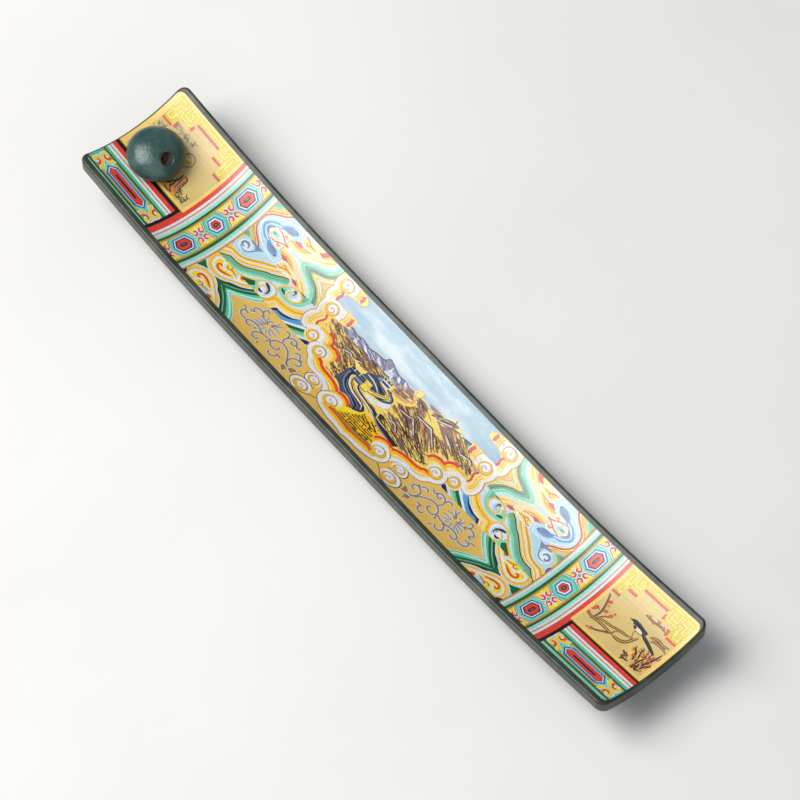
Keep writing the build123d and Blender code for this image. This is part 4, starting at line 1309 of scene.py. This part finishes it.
MAIN_LINES = (  # width, colour, path
    (0.5, "navy", "-11.1,-1.2 -10.8,-2.2 -9.4,-3.1 -5,-3.8 -1,-4.3"),
    (0.2, "umber", "-10,-2.4 -8.4,-2.9 -4.4,-3.3 -1,-3.6"),
    (0.3, "straw", "-9.6,-2.6 -7,-3.05 -3,-3.5"),
    (0.3, "lavender", "-10.6,-2.9 -8.4,-3.7 -4,-4.3 -.6,-5"),
    (0.16, "umber", "-12.6,-2.4 -11.4,-3.4 -8,-4.3 -4,-4.8 -1,-5.8"),
    (0.2, "ochre", "-13.4,-2 -12,-3.2 -8.6,-4.4 -4.6,-5"),
)
NEAR_LINES = (  # level, width, colour, path
    (13, 0.5, "blue_grey", "-16.7,-.4 -16.4,-2.4 -15.4,-4.3 -13,-5.9 -9.4,-6.7 -7,-7.7 -6.3,-9.2"),
    (13, 0.9, "ink", "-15.7,-.3 -15.6,-2.4 -14.4,-4.3 -12,-5.6 -8.4,-6.5 -5.9,-7.5 -5.5,-8.8"),
    (14, 0.95, "navy",
     "-15.1,-1.2 -14.8,-2.6 -13.6,-4.2 -10.8,-5.4 -7,-6.05 -4.2,-6.3 -3.1,-6.9 -3.7,-7.9 -5.6,-9.1"),
    (15, 0.24, "blue_grey", "-14.9,-3.2 -13,-4.9 -10,-5.8 -6.6,-6.5 -4.6,-7.4"),
    (15, 0.5, "cream", "-15,-.9 -14.6,-2.2 -13.2,-3.8 -10.6,-4.9 -7,-5.5 -4.6,-6.1 -3.9,-7.1"),
    (14, 0.3, "navy", "-14,-1 -13.5,-2.5 -11.6,-3.9 -8.8,-4.7 -5.6,-5.2 -3.4,-6"),
)


def far_run(art):
    """The wall's far run, its small tower and the bend."""
    art.fill("straw", 9, "3.0,11.1! 5.6,11.2! 5.5,9.8! 4.4,9.2 4.3,8.5 5.7,7.8 6.1,6.6 5.4,5.4 3.6,4.3 "
        "1,3.8 -1.6,3.5! -2.4,5.2! 0,5.4 2.4,6 4.6,6.8 4.9,7.4 3.6,8.3 2.7,9")
    for width, color, txt in FAR_LINES:
        art.line(color, 10, width, txt)
    art.fill("slate", 9, "-12.2,3.5! -10.2,4.7 -8.4,5.8! -7.6,5.4! -7.4,3! -9.6,3.2")
    art.fill("green_grey", 10, "-9,4.4 -8.2,5.4! -7.8,5.2! -7.8,4!")
    for x in (-7.5, -5.9, -4.5):
        art.rect("navy", 11, x, x + 0.8, 5.4, 6.15)
        art.rect("lavender", 12, x - 0.1, x + 0.7, 5.15, 5.5)
    art.fill("lavender", 10, "-7.6,5.5! -4.1,5.5! -3.9,3.6! -7.5,3.9!")
    art.rect("navy", 11, -7.4, -4.1, 4.25, 4.95)
    art.fill("straw", 11, "-4,6.2! -2.6,6.2! -2.6,3.7! -3.9,3.5!")
    art.line("orange", 12, 0.2, "-2.8,5.9 -2.8,3.9")


def dark_flank(art):
    """Shaded side of the wall between the two towers."""
    art.fill("slate", 10, "-13.4,1.5! -12,3.2 -10,3.9 -7,3.6 -4,3.1 -2.6,2.3 -3.2,1.5 -5,.8 -7.6,-.2! "
        "-8.2,1.4!")
    for width, color, txt in FLANK_LINES:
        art.line(color, 11, width, txt, (0.5, 0.4))


def bend_road(art):
    """Road round the bend, its outer parapet and the pale bank under it."""
    art.line("straw", 10, 1.7, "-4.6,3.2 -2.6,2.7 -1.4,1.9 -2,1 -3.8,.2 -6,-.6 -8,-1.1")
    for width, color, txt in BEND_LINES:
        art.line(color, 11, width, txt)
    art.line("navy", 12, 0.85, "-3.8,3.9 -1.4,3.1 -0.1,2.4 .1,1.7 -.7,.9 -2.2,.1 -4.6,-.8", (0.7, 0.2))
    art.line("blue_grey", 13, 0.42, "-3.4,3.7 -1.4,2.95 -.25,2.3 -.1,1.7 -.9,.95 -2.4,.1", (0.7, 0.3))
    art.fill("white", 10, ".4,1.1! 1.2,.8! 1.3,-.3 .4,-1.2 -1.6,-2.1 -3.2,-2.9! -6.8,-2.7 -7.4,-2.1! "
        "-4,-1.5 -1.4,-.4")
    art.fill("cloud", 11, "-5.6,-2.5 -3,-2.5 -1.2,-1.6 .6,-.4 .2,.4 -1.6,-.9 -3.6,-1.8")
    for txt in ("1.4,.6 1.3,-.6 .2,-1.5 -1.8,-2.4 -3.2,-3", "-3.4,-2.2 -2.2,-1.8 -2,-2.3"):
        art.line("straw", 12, 0.34, txt, (0.5, 0.5))


def main_run(art):
    """Straw lane, dark parapet growing to the right, grey foot."""
    art.fill("straw", 9, "-14.8,-.8 -11.2,-1.4 -10.8,-2.6 -8.6,-3.5 -4,-4 -1,-4.6 1.6,-6.1 -.6,-6.9 "
        "-2.8,-6.2 -5,-5.4 -9,-4.7 -12.6,-3.4")
    for width, color, txt in MAIN_LINES:
        art.line(color, 11, width, txt)
    art.fill("ink", 12, "-4,-3.6! -.5,-3.9 .8,-4.3! 1.2,-5.3! 5.6,-5.8 9,-6.1 13.8,-6.7! 12.6,-7.9! "
        "8,-7.3 4,-6.8 1,-5.6 -1,-4.6")
    art.fill("navy", 13, "-3,-3.9 .2,-4.3 .6,-5 4,-6 7,-6.6 4,-6.4 1,-5.3")
    art.fill("blue_grey", 13, "-2.6,-4.6 .6,-5.3 4,-6.6 7.6,-7.2 9.4,-7.5! 7.6,-7.7 4,-7.1 1,-5.9")
    art.line("straw", 12, 0.3, "1,-5 3.4,-5.4 6.4,-5.7", (0.5, 0.5))


def near_lane(art):
    """The lane that sweeps round to the front."""
    art.fill("slate", 12, "-17.7,0! -14.7,-.2! -15.2,-2.6 -13.6,-4.6 -10,-5.8 -6,-6.4 -4,-7 -4.6,-8.4 "
        "-6.6,-9.7! -7.6,-8.2 -10.4,-7.2 -13,-7.9! -15.8,-6.2 -18.3,-5.9!")
    for level, width, color, txt in NEAR_LINES:
        art.line(color, level, width, txt, (1, 0.4))


def near_tower(art):
    art.fill("slate", 13, "-17.7,1.2! -10.6,1.2! -10.6,-.2! -17.5,-.2!")
    for x, w in ((-17.3, 1.3), (-15.5, 1.6), (-13.2, 1.7)):
        art.rect("navy", 15, x, x + w, 0.55, 1.15)
        art.rect("blue_soft", 15, x, x + w, 0.3, 0.55)
        art.rect("straw", 15, x - 0.42, x - 0.1, 0.25, 1.2)
    art.rect("blue_grey", 13, -14.0, -10.7, -1.3, -0.2)
    art.rect("slate", 14, -13.6, -10.9, -1.75, -1.2)
    art.line("black", 16, 0.4, "-17.6,0 -10.5,0")
    art.fill("lemon", 13, "-10.7,1.4! -8,1.4! -7.9,-1.9! -10.5,-2!")
    for txt in ("-10.4,.5 -8.2,.5", "-10.4,.1 -8.2,.1"):
        art.line("orange", 14, 0.16, txt)
    art.line("umber", 14, 0.22, "-10.4,-1.9 -8,-1.9")


def wall():
    art = Art("wall", (-18.6, 14.2, -10, 11.6))
    for part in (far_run, dark_flank, bend_road, main_run, near_lane, near_tower):
        part(art)
    return art


# ---- from flat shapes to thin solids on the curved face -------------------------------
CUT_SNAP = 1e-5  # points this near a cutting plane count as on it, millimetres
WELD = 0.004  # nearer points of one shape become one, millimetres


def corner_cuts():
    """Planes that round the print's four corners: point and outward direction in plan."""
    for sx in (-1, 1):
        for sy in (-1, 1):
            cx, cy = sx * (PRINT_X - PRINT_CORNER), sy * (PRINT_Y - PRINT_CORNER)
            for k in range(1, 6):
                a = math.radians(15 * k)
                nx, ny = sx * math.cos(a), sy * math.sin(a)
                yield (cx + nx * PRINT_CORNER, cy + ny * PRINT_CORNER, 0), (nx, ny, 0)


def box_planes(box):
    """The four planes round a box in plan: a point of each and its outward direction."""
    x0, x1, y0, y1 = box
    return (
        ((x0, 0, 0), (-1, 0, 0)), ((x1, 0, 0), (1, 0, 0)),
        ((0, y0, 0), (0, -1, 0)), ((0, y1, 0), (0, 1, 0)),
    )


def cut(bm, point, normal, keep_all=False):
    """Splits a sheet along a plane, dropping what lies beyond it unless all is kept."""
    everything = bm.verts[:] + bm.edges[:] + bm.faces[:]
    bmesh.ops.bisect_plane(bm, geom=everything, dist=CUT_SNAP, plane_co=point, plane_no=normal,
                           clear_outer=not keep_all)


def trim(bm, box):
    """Cuts a sheet to its box and the print's round corners, then splits it on the grid."""
    for point, normal in box_planes(box):
        cut(bm, point, normal)
    if max(-box[0], box[1]) >= PRINT_X:
        for point, normal in corner_cuts():
            cut(bm, point, normal)
    xs, ys = [v.co.x for v in bm.verts], [v.co.y for v in bm.verts]
    if not xs:
        return
    for k in range(math.ceil(min(xs) / CELL_X), math.ceil(max(xs) / CELL_X)):
        cut(bm, (k * CELL_X, 0, 0), (1, 0, 0), True)
    for k in range(math.ceil(min(ys) / CELL_Y), math.ceil(max(ys) / CELL_Y)):
        cut(bm, (0, k * CELL_Y, 0), (0, 1, 0), True)


def flat_sheet(points, faces):
    """One shape as a flat mesh; a face that would repeat another is left out."""
    bm = bmesh.new()
    verts = [bm.verts.new((x, y, 0)) for x, y in points]
    for f in faces:
        try:
            bm.faces.new([verts[i] for i in f])
        except ValueError:
            continue
    bmesh.ops.remove_doubles(bm, verts=bm.verts[:], dist=WELD)
    return bm


def thicken(bm, level):
    """Closed solid: a top sheet over the face and a foot just under it."""
    made = bmesh.ops.extrude_face_region(bm, geom=bm.faces[:], use_keep_orig=True)
    top = {v for v in made["geom"] if isinstance(v, bmesh.types.BMVert)}
    for v in bm.verts:
        lift = PAINT_LIFT + LEVEL_STEP * level if v in top else PAINT_FOOT
        v.co.z = face_height(v.co.x, v.co.y) + lift
    bmesh.ops.recalc_face_normals(bm, faces=bm.faces[:])


PAINTS = {}


def paint_of(name):
    if name not in PAINTS:
        PAINTS[name] = sky_wash() if name == "sky" else paint(name, PAINT[name])
    return PAINTS[name]


def painted(art):
    """Makes one object of an Art, riding on the tray."""
    mesh = bpy.data.meshes.new(art.name)
    colors = []
    whole = bmesh.new()
    for color, level, points, faces in art.items:
        bm = flat_sheet(points, faces)
        trim(bm, art.box)
        if bm.faces:
            thicken(bm, level)
            if color not in colors:
                colors.append(color)
                mesh.materials.append(paint_of(color))
            for f in bm.faces:
                f.material_index = colors.index(color)
            piece = bpy.data.meshes.new("part")
            bm.to_mesh(piece)
            whole.from_mesh(piece)
            bpy.data.meshes.remove(piece)
        bm.free()
    bmesh.ops.scale(whole, vec=(MM, MM, MM), verts=whole.verts[:])
    whole.to_mesh(mesh)
    whole.free()
    obj = bpy.data.objects.new(art.name, mesh)
    bpy.context.collection.objects.link(obj)
    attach(obj, "tray")
    return obj


def ground():
    art = Art("print_ground", (-PRINT_X, PRINT_X, -PRINT_Y, PRINT_Y))
    art.rect("gold", 0, *art.box)
    return art


# at the far end the transfer sits a little further in, and its lozenge box a little lower
FAR_SHIFT, FAR_DROP = 0.45, 0.55
FAR_EDGE = 75.9  # the far fields stop here, at the shifted cross bands


def all_art():
    """Every painted piece, from the ground up to the frame."""
    out = [ground(), sky(), mountains(), wall()]
    for art in (chevron_drops(), sweep_strip(), cloud_collar(), lotus_panel()):
        out += [art, art.other_end(art.name + "_far", outer=FAR_EDGE)]
    for art in (cross_bands(), end_panel()):
        out += [art, art.other_end(art.name + "_far", FAR_SHIFT)]
    out += [lozenge_box(), lozenge_box(FAR_DROP).other_end("lozenge_box_far", FAR_SHIFT)]
    out += [near_painting(), far_painting()]
    right = frame_curls()
    return out + [right, right.other_end("frame_left")]


# ---- the tray, bead, ring and pads ------------------------------------------------------
def dress(node, mat):
    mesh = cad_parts[node].data
    mesh.materials.clear()
    mesh.materials.append(mat)


def dress_all():
    dish = glaze("dish_glaze", (42, 48, 42), (62, 70, 60), (94, 98, 86),
                 rough=0.32, pale_at=0.80, pitted=0.22, shine=0.36)
    bead = glaze("bead_glaze", (34, 58, 56), (50, 78, 75), (84, 112, 106),
                 rough=0.27, pale_at=0.78, pitted=0.95, shine=0.5)
    dress("tray_body", dish)
    dress("incense_bead", bead)
    dress("seat_ring", rubber("ring_silicone", (206, 204, 196)))
    pad = rubber("pad_silicone", (196, 196, 192))
    for k in range(4):
        dress(f"rest_pad_{k + 1}", pad)


# socket in the bead: middle of its mouth and the way out of it, as in the CAD part
MOUTH = Vector((-106.589, -0.836, 20.882))
MOUTH_AXIS = Vector((0.72074, 0.0141, 0.69306))
SOCKET_R, SOCKET_DEPTH = 2.2, 4.0
CLAY_IN_WALL = 0.1  # how far the clay pieces reach into the bead
CLAY_WALL = SOCKET_R - 0.09  # radius of the clay's own wall
MOUTH_EDGE = 0.14  # radius of the thin line of clay round the mouth


def turned_ring(name, profile, mat, count=64):
    """Solid of revolution round the socket's axis; profile holds radius and height, mm."""
    turn = MOUTH_AXIS.to_track_quat("Z", "Y").to_matrix()
    bm = bmesh.new()
    angles = [2 * math.pi * k / count for k in range(count)]
    rings = []
    for r, h in profile:
        places = [MOUTH + turn @ Vector((r * math.cos(a), r * math.sin(a), h)) for a in angles]
        rings.append([bm.verts.new(place * MM) for place in places])
    for a, b in zip(rings, rings[1:] + rings[:1]):
        for k in range(count):
            bm.faces.new((a[k], a[(k + 1) % count], b[(k + 1) % count], b[k]))
    bmesh.ops.recalc_face_normals(bm, faces=bm.faces[:])
    mesh = bpy.data.meshes.new(name)
    bm.to_mesh(mesh)
    bm.free()
    mesh.materials.append(mat)
    mesh.polygons.foreach_set("use_smooth", [True] * len(mesh.polygons))
    obj = bpy.data.objects.new(name, mesh)
    bpy.context.collection.objects.link(obj)
    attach(obj, "bead")


def socket_lining():
    """Bare clay left by the glaze: the socket's lower wall and floor, and its mouth's edge."""
    raw = clay()
    low, outer = -SOCKET_DEPTH - CLAY_IN_WALL, SOCKET_R + CLAY_IN_WALL
    wall_and_floor = (
        (outer, low), (outer, -1.9), (CLAY_WALL, -2.0), (CLAY_WALL - 0.1, -3.6),
        (CLAY_WALL - 0.6, -3.85), (0.02, -3.9), (0.02, low),
    )
    turned_ring("socket_clay", wall_and_floor, raw)
    angles = [math.pi * k / 5 for k in range(10)]
    middle = SOCKET_R + 0.24
    edge = [(middle + MOUTH_EDGE * math.cos(a), 0.02 + MOUTH_EDGE * math.sin(a)) for a in angles]
    turned_ring("mouth_edge", edge, raw)


# ---- floor, lights, camera --------------------------------------------------------------
FLOOR_SIZE = 6.0
WORLD_TINT, WORLD_STRENGTH = (0.86, 0.9, 1.0, 1), 0.27
SOFTBOXES = (  # name, direction from the tray, distance and size in metres, watts, tint
    ("key", (-0.38, -0.44, 0.81), 1.3, (0.98, 0.9), 20, (1.0, 0.99, 0.97)),
    ("fill", (0.8, -0.5, 0.5), 1.6, (1.2, 1.2), 3, (1, 1, 1)),
)


def stage_floor():
    bpy.ops.mesh.primitive_plane_add(size=FLOOR_SIZE, location=(0, 0, 0))
    floor = bpy.context.object
    floor.name = "floor"
    floor.data.materials.append(floor_paper())


def softbox(name, towards, distance, size, power, tint):
    """Rectangular light aimed at the tray's middle."""
    light = bpy.data.lights.new(name, "AREA")
    light.shape = "RECTANGLE"
    light.size, light.size_y = size
    light.energy = power
    light.color = tint
    obj = bpy.data.objects.new(name, light)
    way = Vector(towards).normalized()
    obj.location = way * distance
    obj.rotation_euler = (-way).to_track_quat("-Z", "Y").to_euler()
    bpy.context.collection.objects.link(obj)


def lights():
    world = bpy.context.scene.world or bpy.data.worlds.new("world")
    bpy.context.scene.world = world
    world.use_nodes = True
    back = world.node_tree.nodes["Background"]
    back.inputs["Color"].default_value = WORLD_TINT
    back.inputs["Strength"].default_value = WORLD_STRENGTH
    bpy.context.scene.view_settings.view_transform = "Standard"
    for box in SOFTBOXES:
        softbox(*box)


CAM_AZ, CAM_EL, CAM_ROLL = 50.575, 60.743, -0.489  # degrees
CAM_DISTANCE = 1565.6  # from the middle of the tray's face, millimetres
CAM_SENSOR, CAM_LENS = 36.0, 227.331  # millimetres
CAM_SHIFT = (0.0175, 0.00735)
CAM_CLIP = (0.05, 20.0)  # metres


def camera():
    data = bpy.data.cameras.new("camera")
    data.sensor_width = CAM_SENSOR
    data.lens = CAM_LENS
    data.shift_x, data.shift_y = CAM_SHIFT
    data.clip_start, data.clip_end = CAM_CLIP
    obj = bpy.data.objects.new("camera", data)
    bpy.context.collection.objects.link(obj)
    bpy.context.scene.camera = obj
    az, el, roll = (math.radians(a) for a in (CAM_AZ, CAM_EL, CAM_ROLL))
    right = Vector((math.cos(az), math.sin(az), 0))
    ahead = Vector((-math.sin(az) * math.cos(el), math.cos(az) * math.cos(el), -math.sin(el)))
    up = right.cross(ahead)
    turned = right * math.cos(roll) + up * math.sin(roll)
    top = up * math.cos(roll) - right * math.sin(roll)
    obj.matrix_world = Matrix((turned, top, -ahead)).transposed().to_4x4()
    obj.location = Vector((0, 0, INNER * MM)) - ahead * CAM_DISTANCE * MM


stage_floor()
lights()
camera()
dress_all()
socket_lining()
for made in [painted(art) for art in all_art()]:
    if made.name == "print_ground":
        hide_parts("print_skin")
